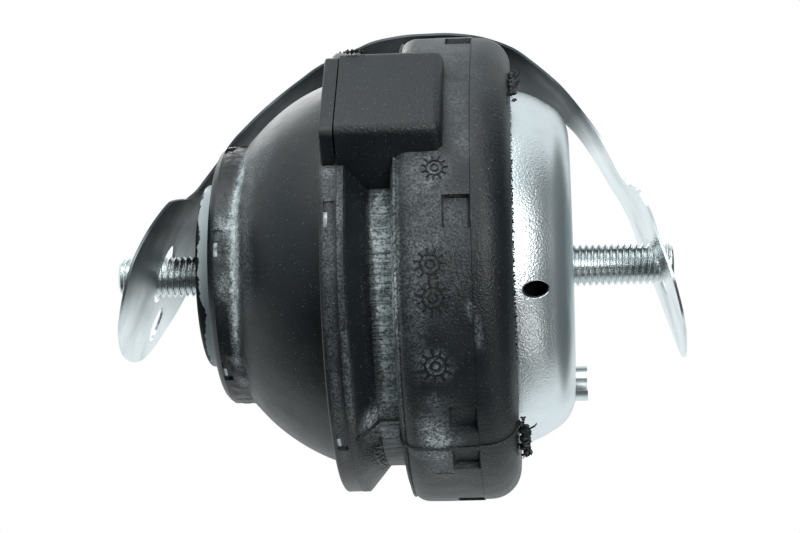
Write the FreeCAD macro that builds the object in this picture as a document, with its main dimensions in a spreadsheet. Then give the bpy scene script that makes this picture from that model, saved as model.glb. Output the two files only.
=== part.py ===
"""Hydraulic engine mount with a sheet heat shield.  All lengths are in millimetres.

The mount's axis is Z: the engine bolts on at +Z and the body bracket at -Z.  The origin is the
centre of the seating face of the lower cup.  +X is the side that the heat shield covers and -Y is
the side of the vent hole.
"""
import FreeCAD, Part
import math
import os
import Sketcher

V = FreeCAD.Vector
doc = FreeCAD.newDocument("engine_mount")
sheet = doc.addObject("Spreadsheet::Sheet", "Dims")

SIZES = [
    ("centre", 0.0, "on the axis"),
    # stations along the axis
    ("cup_base", 0.0, "seating face of the cup"),
    ("ring_low", 13.4, "lower flank of the buffer ring"),
    ("crimp_low", "=cup_rim_low - 1.8", "lower edge of the housing"),
    ("cup_rim_low", "=cup_rim_high - cup_wall", "underside of the cup's rim"),
    ("cup_rim_high", 19.0, "top of the cup's rim"),
    ("bead_high", "=cup_rim_high + 3", "top of the diaphragm's bead"),
    ("seam_z", "=ring_low + ring_shoulder + 1.3", "mould seam round the buffer ring"),
    ("track_floor", "=track_split - 4", "floor of the inertia track"),
    ("grille_low", "=track_split - 2.8", "floor of the decoupler's pocket"),
    ("decoupler_high", "=track_split + 1.2", "top of the decoupler"),
    ("track_split", "=bead_high + 6", "joint between the track plates"),
    ("grille_high", "=track_split + 1.8", "roof of the decoupler's pocket"),
    ("track_high", "=track_split + 4", "top of the upper track plate"),
    ("seal_high", "=track_high + 2", "top of the track seal"),
    ("ring_high", 39.8, "upper flank of the buffer ring"),
    ("neck_high", "=flange_low - 5.1", "foot of the cone under the flange"),
    ("screw_head_low", "=snubber_low - 3.2", "underside of the snubber screw"),
    ("housing_flange_low", "=flange_low - 0.4", "underside of the housing's flange"),
    ("flange_low", 50.0, "lower edge of the flange"),
    ("housing_high", "=flange_low + 1", "top of the housing"),
    ("joint_z", "=flange_low + 1.4", "joint between spring and buffer"),
    ("snubber_low", "=joint_z + 0.3", "underside of the snubber plate"),
    ("ring_insert_low", "=joint_z + 0.5", "underside of the spring's steel flange"),
    ("ring_insert_high", "=ring_insert_low + 2.4", "top of the spring's steel flange"),
    ("core_low", "=snubber_low + 2.8", "bottom of the core"),
    ("flange_high", "=ring_insert_high + 1.1", "top of the flange"),
    ("roof_z", "=core_low + 3.1", "rubber roof of the fluid chamber"),
    ("screw_end", "=core_low + 8.5", "end of the snubber screw"),
    ("stud_root", "=screw_end + 3", "end of the upper stud in the core"),
    ("core_shoulder_low", "=dome_high - 0.8", "foot of the core's straight part"),
    ("dome_high", 77.3, "top of the spring's dome"),
    ("plate_low", "=dome_high + 2", "underside of the core plate"),
    ("plate_slot_low", "=plate_low + 0.9", "lower edge of the collar slots"),
    ("collar_round_low", "=plate_low + 1.7", "start of the collar's rounding"),
    ("plate_high", "=plate_low + 3", "top of the core plate"),
    ("collar_high", "=plate_high + 1.9", "top of the collar"),
    ("disc_high", "=collar_high + 4.1", "seating face of the top disc"),
    ("upper_tip", "=disc_high + 22.2", "tip of the upper stud"),
    ("lower_tip", -24.4, "tip of the lower stud"),
    # radii
    ("stud_radius", 5.0, "M10 studs over the thread"),
    ("shank_radius", 5.5, "knurled shank of the studs, pressed in"),
    ("stud_chamfer", 1.2, "chamfer on the stud tips"),
    ("disc_bore", "=shank_radius + 0.25", "hole in the top disc"),
    ("disc_radius", 22.3, "top disc"),
    ("disc_edge", 0.9, "rounding of the disc's edge"),
    ("core_boss", 16.0, "boss of the core"),
    ("core_radius", 19.0, "core at its shoulder"),
    ("core_foot", 12.5, "core at its bottom"),
    ("plate_radius", "=collar_radius - 0.8", "core plate"),
    ("collar_radius", 31.4, "collar of the main spring"),
    ("collar_top", "=collar_radius - 3.2", "flat top of the collar"),
    ("collar_round", 3.4, "rounding of the collar"),
    ("dome_foot", "=flange_radius - 6.8", "dome where it meets the flange"),
    ("dome_bulge", 45.0, "radius of the dome's outline"),
    ("flange_radius", "=ring_radius - 2.6", "flange over its rubber"),
    ("flange_edge", 0.7, "rounding of the flange's upper edge"),
    ("insert_radius", "=flange_radius - 0.8", "steel flange inside the rubber"),
    ("skirt_inner", "=skirt_outer - 1.8", "bore of the spring's steel skirt"),
    ("skirt_outer", "=housing_inner - 0.2", "outside of the spring's steel skirt"),
    ("roof_inner", 12.0, "rubber roof where it meets the core"),
    ("roof_outer", 21.0, "edge of the flat rubber roof"),
    ("chamber_mid", 30.0, "chamber wall, half way"),
    ("chamber_mid_z", "=roof_z - 4.8", "height of that point"),
    ("chamber_low", "=foot_inner - 1.5", "chamber wall near its foot"),
    ("chamber_low_z", "=roof_z - 13.6", "height of that point"),
    ("foot_inner", "=skirt_inner - 1.2", "rubber foot inside the skirt"),
    ("neck_radius", "=housing_outer + 1.3", "neck between flange and ring"),
    ("ring_radius", "=housing_outer + 10", "buffer ring"),
    ("ring_step", 0.25, "step at the mould seam"),
    ("ring_shoulder", "=(ring_radius - cup_outer) * 0.5725", "rounding of the ring's lower edge"),
    ("ring_round", "=(ring_radius - neck_radius) * 0.517", "rounding of the ring's upper edge"),
    ("housing_outer", "=housing_inner + 1.8", "housing sleeve, outside"),
    ("housing_inner", 44.2, "housing sleeve, inside"),
    ("housing_flange", "=flange_radius - 1.4", "housing flange"),
    ("cup_flat", "=cup_knee - 8.6", "flat base of the cup"),
    ("cup_knee", "=cup_outer - 3.3", "end of the cup's rounding"),
    ("cup_knee_z", 5.4, "height of that point"),
    ("cup_round", 9.55, "rounding of the cup's base"),
    ("cup_round_inner", 7.7, "rounding inside the cup"),
    ("cup_knee_inner", "=cup_knee - 1.7", "end of the inner rounding"),
    ("cup_knee_inner_z", 6.1, "height of that point"),
    ("cup_wall", 1.8, "sheet thickness of the cup"),
    ("cup_outer", "=housing_inner - 1.3", "cup below its rim"),
    ("stud_flange", 14.0, "head of the lower stud"),
    ("stud_flange_high", 4.6, "top of the lower stud's head"),
    ("screw_radius", 3.0, "snubber screw"),
    ("screw_head", 5.5, "head of the snubber screw"),
    ("snubber_radius", 20.0, "snubber plate"),
    ("pocket_radius", 21.5, "decoupler's pocket"),
    ("decoupler_radius", "=pocket_radius - 0.7", "decoupler disc"),
    ("track_inner", "=track_outer - 7.5", "inner wall of the inertia track"),
    ("track_outer", "=housing_inner - 3.7", "outer wall of the inertia track"),
    ("seal_inner", "=skirt_inner - 2", "inside of the track seal"),
    ("grille_hole", 3.2, "holes of the decoupler grilles"),
    ("grille_circle", 12.0, "circle of the grille holes"),
    ("port_radius", 2.8, "ports of the inertia track"),
    ("port_circle", "=(track_inner + track_outer) / 2", "circle of the ports"),
    ("port_angle", 20.0, "upper port, degrees from +X"),
    ("lower_port_angle", -20.0, "lower port, degrees from +X"),
    ("barrier_width", 5.0, "wall between the two ports"),
    # lug, as points across the axis
    ("lug_low", 28.0, "lower end of the lug"),
    ("lug_under_x", "=ring_radius * 0.30893", "root of the lug's underside"),
    ("lug_under_y", "=ring_radius * 0.77321", "root of the lug's underside"),
    ("lug_edge_x", "=ring_radius * 0.55536", "lower outer edge of the lug"),
    ("lug_edge_y", "=ring_radius * 0.95536", "lower outer edge of the lug"),
    ("lug_top_x", "=ring_radius * 0.89464", "upper outer edge of the lug"),
    ("lug_top_y", "=ring_radius * 0.60714", "upper outer edge of the lug"),
    ("lug_root_x", "=ring_radius * 0.73214", "root of the lug's upper side"),
    ("lug_root_y", "=ring_radius * 0.39286", "root of the lug's upper side"),
    ("lug_round", 2.2, "rounding of the lug's edges"),
    ("lug_inset", 0.6, "spring's part of the lug, set back"),
    # recesses
    ("pocket_width", 7.6, "mould recess round the ring"),
    ("pocket_length", 6.2, "mould recess along the axis"),
    ("pocket_depth", 1.6, "mould recess, depth"),
    ("slot_angle", -76.0, "first slot that shows bare steel, degrees from +X"),
    ("flange_slot", 5.6, "slots in the flange rim"),
    ("collar_slot", 6.2, "slots in the collar"),
    ("slot_overrun", 3.0, "length of a cutter beyond the surface"),
    ("slot_bite", 0.4, "how far a locating slot reaches in past the steel's edge"),
    ("vent_angle", -96.8, "vent hole, degrees from +X"),
    ("vent_radius", 2.1, "ends of the vent hole"),
    ("vent_reach", 1.05, "half distance between its ends"),
    ("vent_z", 8.7, "centre of the vent hole"),
    ("vent_start", "=cup_outer - 6.9", "vent cutter begins at this radius"),
    ("vent_length", 9.0, "vent cutter's length"),
    # locating dowel
    ("dowel_x", "=2.4 - cup_flat", "centre of the dowel"),
    ("dowel_radius", 4.2, "spring dowel, outside"),
    ("dowel_shank", 4.5, "end of the dowel pressed into the cup"),
    ("dowel_bore", 2.4, "spring dowel, inside"),
    ("dowel_slot", 3.0, "slot of the spring dowel"),
    ("dowel_tip", -3.0, "end of the dowel outside the cup"),
    ("dowel_root", 4.0, "end of the dowel inside the cup"),
    # diaphragm
    ("bellows_neck", "=cup_outer - 3.4", "outside of the bellows under its bead"),
    ("bellows_outer", "=bellows_neck - 0.9", "outside of the bellows"),
    ("bellows_outer_z", 12.5, "height of that point"),
    ("bellows_low", "=bellows_outer - 5.6", "lowest part of the bellows"),
    ("bellows_low_z", 8.6, "height of that point"),
    ("bellows_turn", "=bellows_low - 7", "bellows where it turns up"),
    ("bellows_turn_z", 10.0, "height of that point"),
    ("bellows_dome", "=bellows_turn - 8", "foot of the centre dome"),
    ("bellows_dome_z", 15.5, "height of that point"),
    ("bellows_centre_z", 16.8, "centre of the bellows"),
    ("bellows_wall", 1.8, "rubber thickness of the bellows"),
    ("bellows_bead", "=bellows_outer - 1", "inside of the bead"),
    # heat shield
    ("shield_sheet", 0.6, "sheet thickness"),
    ("upper_hole", 7.0, "radius of the hole round the upper stud"),
    ("upper_hole_x", 0.9, "centre of that hole"),
    ("lower_hole", 7.1, "radius of the hole round the lower stud"),
    ("lower_hole_x", -1.0, "centre of that hole"),
    ("side_hole", 4.1, "radius of the small hole"),
    ("side_hole_x", -11.7, "centre of the small hole"),
    ("side_hole_y", 11.0, "centre of the small hole"),
    ("shield_cut", 30.0, "length of the hole cutters"),
    ("upper_cut_z", 85.0, "start of the upper hole cutters"),
    ("lower_cut_z", -40.0, "start of the lower hole cutter"),
]
for row, (alias, value, note) in enumerate(SIZES, start=1):
    sheet.set("A%d" % row, note)
    sheet.setAlias("B%d" % row, alias)
for row, (alias, value, note) in enumerate(SIZES, start=1):
    sheet.set("B%d" % row, str(value))
doc.recompute()

POCKET_ANGLES = (-16.4, -77.0, -126.4, -140.0, -168.0, 136.0, 100.0, 56.0)
SLOT_COUNT = 6
GRILLE_COUNT = 6


def size(text):
    """Number for a sum of aliases such as 'cup_wall + cup_base'."""
    total, sign = 0.0, 1.0
    for word in text.split():
        if word in ("+", "-"):
            sign = 1.0 if word == "+" else -1.0
        else:
            total += sign * float(sheet.get(word))
    return total


def bound(text):
    """The same sum written as an expression on the sheet."""
    return " ".join(word if word in ("+", "-", "*", "/") else "Dims." + word for word in text.split())


def origin_plane(body, role):
    for feature in body.Origin.OriginFeatures:
        if getattr(feature, "Role", "") == role:
            return feature
    raise RuntimeError("no origin plane " + role)


def arc_centre(start, end, radius):
    """Centre of the arc that bulges to the right of the way from start to end."""
    mid = (start + end) * 0.5
    chord = end - start
    half = chord.Length / 2
    side = V(-chord.y, chord.x, 0).normalize()
    return mid + side * math.sqrt(max(radius * radius - half * half, 0.0))


def closed_sketch(body, plane, name, outline):
    """Closed outline; a corner is (x, y) or (x, y, radius) where an arc leads to the next."""
    sketch = body.newObject("Sketcher::SketchObject", name)
    sketch.AttachmentSupport = [(origin_plane(body, plane), "")]
    sketch.MapMode = "FlatFace"
    corners = [V(size(c[0]), size(c[1]), 0) for c in outline]
    count = len(outline)
    for i, corner in enumerate(outline):
        start, end = corners[i], corners[(i + 1) % count]
        if len(corner) == 2:
            sketch.addGeometry(Part.LineSegment(start, end), False)
        else:
            radius = size(corner[2])
            centre = arc_centre(start, end, radius)
            middle = centre + ((start + end) * 0.5 - centre).normalize() * radius
            sketch.addGeometry(Part.Arc(start, middle, end), False)
    tail = {}
    for i, corner in enumerate(outline):
        start, end = corners[i], corners[(i + 1) % count]
        head = 1
        if len(corner) == 3:
            curve = sketch.Geometry[i]
            if (curve.StartPoint - start).Length > (curve.StartPoint - end).Length:
                head = 2
        tail[i] = (head, 3 - head)
    for i, corner in enumerate(outline):
        after = (i + 1) % count
        sketch.addConstraint(Sketcher.Constraint("Coincident", i, tail[i][1], after, tail[after][0]))
    for i, corner in enumerate(outline):
        for kind, text, place, axis in (("DistanceX", corner[0], corners[i].x, -2),
                                        ("DistanceY", corner[1], corners[i].y, -1)):
            if abs(place) < 1e-9:
                sketch.addConstraint(Sketcher.Constraint("PointOnObject", i, tail[i][0], axis))
                continue
            index = sketch.addConstraint(Sketcher.Constraint(kind, -1, 1, i, tail[i][0], place))
            sketch.setExpression("Constraints[%d]" % index, bound(text))
        if len(corner) == 3:
            index = sketch.addConstraint(Sketcher.Constraint("Radius", i, size(corner[2])))
            sketch.setExpression("Constraints[%d]" % index, bound(corner[2]))
    return sketch


def turned(name, outline):
    """Body of revolution about Z from its half section, as (radius, height) corners."""
    body = doc.addObject("PartDesign::Body", name)
    sketch = closed_sketch(body, "XZ_Plane", name + "_section", outline)
    turn = body.newObject("PartDesign::Revolution", name + "_turn")
    turn.Profile = sketch
    turn.ReferenceAxis = (sketch, ["V_Axis"])
    turn.Angle = 360
    body.Tip = turn
    sketch.Visibility = False
    doc.recompute()
    return body


def ring_edges(shape, radius, height):
    names = []
    for i, edge in enumerate(shape.Edges, start=1):
        curve = edge.Curve
        if (isinstance(curve, Part.Circle) and abs(curve.Radius - radius) < 0.01
                and abs(curve.Center.z - height) < 0.01):
            names.append("Edge%d" % i)
    if not names:
        raise RuntimeError("no edge at radius %g, height %g" % (radius, height))
    return names


def rounded(body, names, alias):
    """Fillet on the given edges of the body's tip."""
    fillet = body.newObject("PartDesign::Fillet", body.Name + "_round")
    fillet.Base = (body.Tip if body.Tip != fillet else fillet.BaseFeature, names)
    fillet.setExpression("Radius", bound(alias))
    body.Tip = fillet
    doc.recompute()
    return body


def padded(name, outline, low, high):
    """Prism along Z from an outline across the axis."""
    body = doc.addObject("PartDesign::Body", name)
    sketch = closed_sketch(body, "XY_Plane", name + "_outline", outline)
    sketch.setExpression("AttachmentOffset.Base.z", bound(low))
    pad = body.newObject("PartDesign::Pad", name + "_pad")
    pad.Profile = sketch
    pad.setExpression("Length", bound(high + " - " + low))
    body.Tip = pad
    sketch.Visibility = False
    doc.recompute()
    return body


def radial_box(name, angle, start, length, width, low, height):
    """Box that points outwards from the axis at an angle in degrees."""
    box = doc.addObject("Part::Box", name)
    box.setExpression("Length", bound(length))
    box.setExpression("Width", bound(width))
    box.setExpression("Height", bound(height))
    box.Placement = FreeCAD.Placement(V(0, 0, 0), FreeCAD.Rotation(V(0, 0, 1), 1.0))
    box.setExpression("Placement.Rotation.Angle", "(%s) * 1 deg" % angle)
    cosine, sine = "cos((%s) * 1 deg)" % angle, "sin((%s) * 1 deg)" % angle
    out, half = "(" + bound(start) + ")", "(" + bound(width) + ") / 2"
    box.setExpression("Placement.Base.x", "%s * %s + %s * %s" % (out, cosine, half, sine))
    box.setExpression("Placement.Base.y", "%s * %s - %s * %s" % (out, sine, half, cosine))
    box.setExpression("Placement.Base.z", bound(low))
    return box


def upright_cylinder(name, radius, low, height, circle="centre", angle="0", x="centre", y="centre"):
    post = doc.addObject("Part::Cylinder", name)
    post.setExpression("Radius", bound(radius))
    post.setExpression("Height", bound(height))
    out = bound(circle)
    post.setExpression("Placement.Base.x", "%s * cos((%s) * 1 deg) + %s" % (out, angle, bound(x)))
    post.setExpression("Placement.Base.y", "%s * sin((%s) * 1 deg) + %s" % (out, angle, bound(y)))
    post.setExpression("Placement.Base.z", bound(low))
    return post


def radial_cylinder(name, radius, start, length, angle, height):
    post = doc.addObject("Part::Cylinder", name)
    post.setExpression("Radius", bound(radius))
    post.setExpression("Height", bound(length))
    turn = math.radians(size(angle))
    across = FreeCAD.Rotation(V(0, 0, 1), V(math.cos(turn), math.sin(turn), 0))
    post.Placement = FreeCAD.Placement(V(0, 0, 0), across)
    spin, out = bound(angle) + " * 1 deg", bound(start)
    post.setExpression("Placement.Base.x", "%s * cos(%s)" % (out, spin))
    post.setExpression("Placement.Base.y", "%s * sin(%s)" % (out, spin))
    post.setExpression("Placement.Base.z", bound(height))
    return post


def cut(name, base, tools):
    tool = tools[0]
    if len(tools) > 1:
        tool = doc.addObject("Part::MultiFuse", name + "_cutters")
        tool.Shapes = tools
    result = doc.addObject("Part::Cut", name)
    result.Base, result.Tool = base, tool
    return result


def joined(name, pieces):
    result = doc.addObject("Part::MultiFuse", name)
    result.Shapes = pieces
    result.Refine = True
    return result


parts = {}

# --- engine side: stud, disc, core and its plate -------------------------------------------
parts["upper_stud"] = turned("upper_stud_body", [
    ("centre", "stud_root"), ("shank_radius", "stud_root"), ("shank_radius", "disc_high"),
    ("stud_radius", "disc_high"), ("stud_radius", "upper_tip - stud_chamfer"),
    ("stud_radius - stud_chamfer", "upper_tip"), ("centre", "upper_tip")])

disc = turned("top_disc_body", [
    ("disc_bore", "collar_high"), ("disc_radius", "collar_high"),
    ("disc_radius", "disc_high"), ("disc_bore", "disc_high")])
parts["top_disc"] = rounded(disc, ring_edges(disc.Shape, size("disc_radius"), size("disc_high")),
                            "disc_edge")

parts["core"] = turned("core_body", [
    ("screw_radius", "core_low"), ("core_foot", "core_low"), ("core_radius", "core_shoulder_low"),
    ("core_radius", "plate_low"), ("core_boss", "plate_low"), ("core_boss", "collar_high"),
    ("shank_radius", "collar_high"), ("shank_radius", "stud_root"), ("centre", "stud_root"),
    ("centre", "screw_end"), ("screw_radius", "screw_end")])

parts["core_plate"] = turned("core_plate_body", [
    ("core_boss", "plate_low"), ("plate_radius", "plate_low"),
    ("plate_radius", "plate_high"), ("core_boss", "plate_high")])

parts["snubber_plate"] = turned("snubber_plate_body", [
    ("screw_radius", "snubber_low"), ("snubber_radius", "snubber_low"),
    ("snubber_radius", "core_low"), ("screw_radius", "core_low")])

parts["snubber_screw"] = turned("snubber_screw_body", [
    ("centre", "screw_head_low"), ("screw_head", "screw_head_low"), ("screw_head", "snubber_low"),
    ("screw_radius", "snubber_low"), ("screw_radius", "screw_end"), ("centre", "screw_end")])

# --- main spring and the steel ring bonded into it ------------------------------------------
parts["spring_ring"] = turned("spring_ring_body", [
    ("skirt_inner", "track_high"), ("skirt_outer", "track_high"), ("skirt_outer", "ring_insert_low"),
    ("insert_radius", "ring_insert_low"), ("insert_radius", "ring_insert_high"),
    ("skirt_inner", "ring_insert_high")])

spring_blank = turned("spring_blank", [
    ("roof_inner", "roof_z"), ("roof_outer", "roof_z"), ("chamber_mid", "chamber_mid_z"),
    ("chamber_low", "chamber_low_z"), ("foot_inner", "seal_high"), ("skirt_outer", "seal_high"),
    ("skirt_outer", "joint_z"), ("flange_radius", "joint_z"), ("flange_radius", "flange_high"),
    ("dome_foot", "flange_high", "dome_bulge"), ("collar_radius", "dome_high"),
    ("collar_radius", "collar_round_low", "collar_round"), ("collar_top", "collar_high"),
    ("roof_inner", "collar_high")])
rounded(spring_blank, ring_edges(spring_blank.Shape, size("flange_radius"), size("flange_high")),
        "flange_edge")

LUG = [("lug_under_x", "centre - lug_under_y"), ("lug_edge_x", "centre - lug_edge_y"),
       ("lug_top_x", "centre - lug_top_y"), ("lug_root_x", "centre - lug_root_y")]
LUG_SET_BACK = [("lug_under_x", "centre - lug_under_y"),
                ("lug_edge_x - lug_inset", "centre - lug_edge_y + lug_inset"),
                ("lug_top_x - lug_inset", "centre - lug_top_y + lug_inset"),
                ("lug_root_x", "centre - lug_root_y")]
spring_lug = padded("spring_lug", LUG_SET_BACK, "joint_z", "flange_high")

flange_slots = [radial_box("flange_slot_%d" % i, "Dims.slot_angle + %g" % (i * 360.0 / SLOT_COUNT),
                           "insert_radius - slot_bite", "slot_overrun", "flange_slot", "ring_insert_low",
                           "ring_insert_high - ring_insert_low") for i in range(SLOT_COUNT) if i != 1]
collar_slots = [radial_box("collar_slot_%d" % i, "Dims.slot_angle + %g" % (i * 360.0 / SLOT_COUNT),
                           "plate_radius - slot_bite", "slot_overrun", "collar_slot", "plate_slot_low",
                           "plate_high - plate_slot_low") for i in range(SLOT_COUNT)]
parts["main_spring"] = cut("main_spring", joined("spring_with_lug", [spring_blank, spring_lug]),
                           [parts["core"], parts["core_plate"], parts["spring_ring"]]
                           + flange_slots + collar_slots)

# --- housing and the moulded buffer round it --------------------------------------------------
parts["housing"] = turned("housing_body", [
    ("cup_outer", "crimp_low"), ("housing_outer", "crimp_low"), ("housing_outer", "housing_flange_low"),
    ("housing_flange", "housing_flange_low"), ("housing_flange", "housing_high"),
    ("housing_inner", "housing_high"), ("housing_inner", "cup_rim_low"), ("cup_outer", "cup_rim_low")])

buffer_blank = turned("buffer_blank", [
    ("cup_outer", "ring_low"),
    ("ring_radius - ring_step - ring_shoulder", "ring_low", "ring_shoulder"),
    ("ring_radius - ring_step", "ring_low + ring_shoulder"), ("ring_radius - ring_step", "seam_z"),
    ("ring_radius", "seam_z"), ("ring_radius", "ring_high - ring_round", "ring_round"),
    ("ring_radius - ring_round", "ring_high"), ("neck_radius", "ring_high"),
    ("neck_radius", "neck_high"), ("flange_radius", "flange_low"), ("flange_radius", "joint_z"),
    ("housing_inner", "joint_z"), ("housing_inner", "crimp_low"), ("cup_outer", "crimp_low")])

lug = padded("buffer_lug", LUG, "lug_low", "joint_z")
lug_edges = []
for i, edge in enumerate(lug.Shape.Edges, start=1):
    middle = edge.CenterOfMass
    outer = math.hypot(middle.x, middle.y) > size("ring_radius") + size("ring_step")
    low_end = abs(middle.z - size("lug_low")) < 0.01
    inner_face = abs(middle.x - (size("lug_under_x") + size("lug_root_x")) / 2) < 0.5
    if (outer and middle.z < size("joint_z") - 0.01) or (low_end and not inner_face):
        lug_edges.append("Edge%d" % i)
rounded(lug, lug_edges, "lug_round")

lug_bore = upright_cylinder("lug_bore", "housing_inner", "lug_low", "joint_z - lug_low")
pockets = [radial_box("pocket_%d" % i, "%g" % angle, "ring_radius - pocket_depth",
                      "pocket_depth + slot_overrun", "pocket_width", "seam_z", "pocket_length")
           for i, angle in enumerate(POCKET_ANGLES)]
parts["outer_buffer"] = cut("outer_buffer", joined("buffer_with_lug", [buffer_blank, lug]),
                            [parts["housing"], lug_bore] + pockets)

# --- inside: track plates, decoupler, seal and diaphragm --------------------------------------
parts["diaphragm"] = turned("diaphragm_body", [
    ("centre", "bellows_centre_z"), ("bellows_dome", "bellows_dome_z"),
    ("bellows_turn", "bellows_turn_z"), ("bellows_low", "bellows_low_z"),
    ("bellows_outer", "bellows_outer_z"), ("bellows_neck", "cup_rim_high"),
    ("housing_inner", "cup_rim_high"), ("housing_inner", "bead_high"), ("bellows_bead", "bead_high"),
    ("bellows_outer - bellows_wall", "bellows_outer_z + bellows_wall"),
    ("bellows_low", "bellows_low_z + bellows_wall"), ("bellows_turn", "bellows_turn_z + bellows_wall"),
    ("bellows_dome", "bellows_dome_z + bellows_wall"), ("centre", "bellows_centre_z + bellows_wall")])

lower_blank = turned("lower_track_blank", [
    ("centre", "bead_high"), ("housing_inner", "bead_high"), ("housing_inner", "track_split"),
    ("track_outer", "track_split"), ("track_outer", "track_floor"), ("track_inner", "track_floor"),
    ("track_inner", "track_split"), ("pocket_radius", "track_split"), ("pocket_radius", "grille_low"),
    ("centre", "grille_low")])
barrier = radial_box("track_barrier", "0", "track_inner - bellows_wall",
                     "track_outer - track_inner + bellows_wall + bellows_wall",
                     "barrier_width", "track_floor", "track_split - track_floor")


def grille(name, low, height):
    holes = [upright_cylinder(name + "_hole_%d" % i, "grille_hole", low, height, "grille_circle",
                              "%g" % (i * 360.0 / GRILLE_COUNT)) for i in range(GRILLE_COUNT)]
    return holes + [upright_cylinder(name + "_centre", "grille_hole", low, height)]


parts["lower_track"] = cut(
    "lower_track", joined("lower_track_walled", [lower_blank, barrier]),
    grille("lower_grille", "bead_high", "grille_low - bead_high")
    + [upright_cylinder("lower_port", "port_radius", "bead_high", "track_floor - bead_high",
                        "port_circle", "Dims.lower_port_angle")])
upper_blank = turned("upper_track_blank", [
    ("centre", "grille_high"), ("pocket_radius", "grille_high"), ("pocket_radius", "track_split"),
    ("housing_inner", "track_split"), ("housing_inner", "track_high"), ("centre", "track_high")])
parts["upper_track"] = cut(
    "upper_track", upper_blank,
    grille("upper_grille", "grille_high", "track_high - grille_high")
    + [upright_cylinder("upper_port", "port_radius", "track_split", "track_high - track_split",
                        "port_circle", "Dims.port_angle")])
parts["decoupler"] = turned("decoupler_body", [
    ("centre", "grille_low"), ("decoupler_radius", "grille_low"),
    ("decoupler_radius", "decoupler_high"), ("centre", "decoupler_high")])
parts["track_seal"] = turned("track_seal_body", [
    ("seal_inner", "track_high"), ("skirt_inner", "track_high"),
    ("skirt_inner", "seal_high"), ("seal_inner", "seal_high")])

# --- body side: cup, stud and dowel -------------------------------------------------------------
cup_blank = turned("cup_blank", [
    ("shank_radius", "cup_base"), ("cup_flat", "cup_base", "cup_round"), ("cup_knee", "cup_knee_z"),
    ("cup_outer", "ring_low"), ("cup_outer", "cup_rim_low"), ("housing_inner", "cup_rim_low"),
    ("housing_inner", "cup_rim_high"), ("cup_outer - cup_wall", "cup_rim_high"),
    ("cup_outer - cup_wall", "ring_low"), ("cup_knee_inner", "cup_knee_inner_z"),
    ("cup_flat", "cup_wall"), ("shank_radius", "cup_wall")])
vent = [radial_cylinder("vent_end_low", "vent_radius", "vent_start", "vent_length", "vent_angle",
                        "vent_z - vent_reach"),
        radial_cylinder("vent_end_high", "vent_radius", "vent_start", "vent_length", "vent_angle",
                        "vent_z + vent_reach"),
        radial_box("vent_middle", "Dims.vent_angle", "vent_start", "vent_length",
                   "vent_radius + vent_radius", "vent_z - vent_reach", "vent_reach + vent_reach")]
dowel_hole = upright_cylinder("dowel_hole", "dowel_shank", "cup_base", "dowel_root", x="dowel_x")
parts["cup"] = cut("cup", cup_blank, vent + [dowel_hole])

parts["lower_stud"] = turned("lower_stud_body", [
    ("centre", "lower_tip"), ("stud_radius - stud_chamfer", "lower_tip"),
    ("stud_radius", "lower_tip + stud_chamfer"), ("stud_radius", "cup_base"),
    ("shank_radius", "cup_base"), ("shank_radius", "cup_wall"), ("stud_flange", "cup_wall"), ("stud_flange", "stud_flange_high"), ("centre", "stud_flange_high")])

dowel_post = joined("dowel_post", [
    upright_cylinder("dowel_end", "dowel_radius", "dowel_tip", "dowel_root - dowel_tip", x="dowel_x"),
    upright_cylinder("dowel_pressed", "dowel_shank", "cup_base", "dowel_root", x="dowel_x")])
dowel_bore = upright_cylinder("dowel_bore_cut", "dowel_bore", "dowel_tip", "dowel_root - dowel_tip",
                              x="dowel_x")
dowel_slot = doc.addObject("Part::Box", "dowel_slot_cut")
dowel_slot.setExpression("Length", bound("dowel_slot"))
dowel_slot.setExpression("Width", bound("dowel_shank"))
dowel_slot.setExpression("Height", bound("dowel_root - dowel_tip"))
dowel_slot.setExpression("Placement.Base.x", "Dims.dowel_x - Dims.dowel_slot / 2")
dowel_slot.setExpression("Placement.Base.y", "-Dims.dowel_shank")
dowel_slot.setExpression("Placement.Base.z", bound("dowel_tip"))
parts["locating_dowel"] = cut("locating_dowel", dowel_post, [dowel_bore, dowel_slot])

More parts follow.
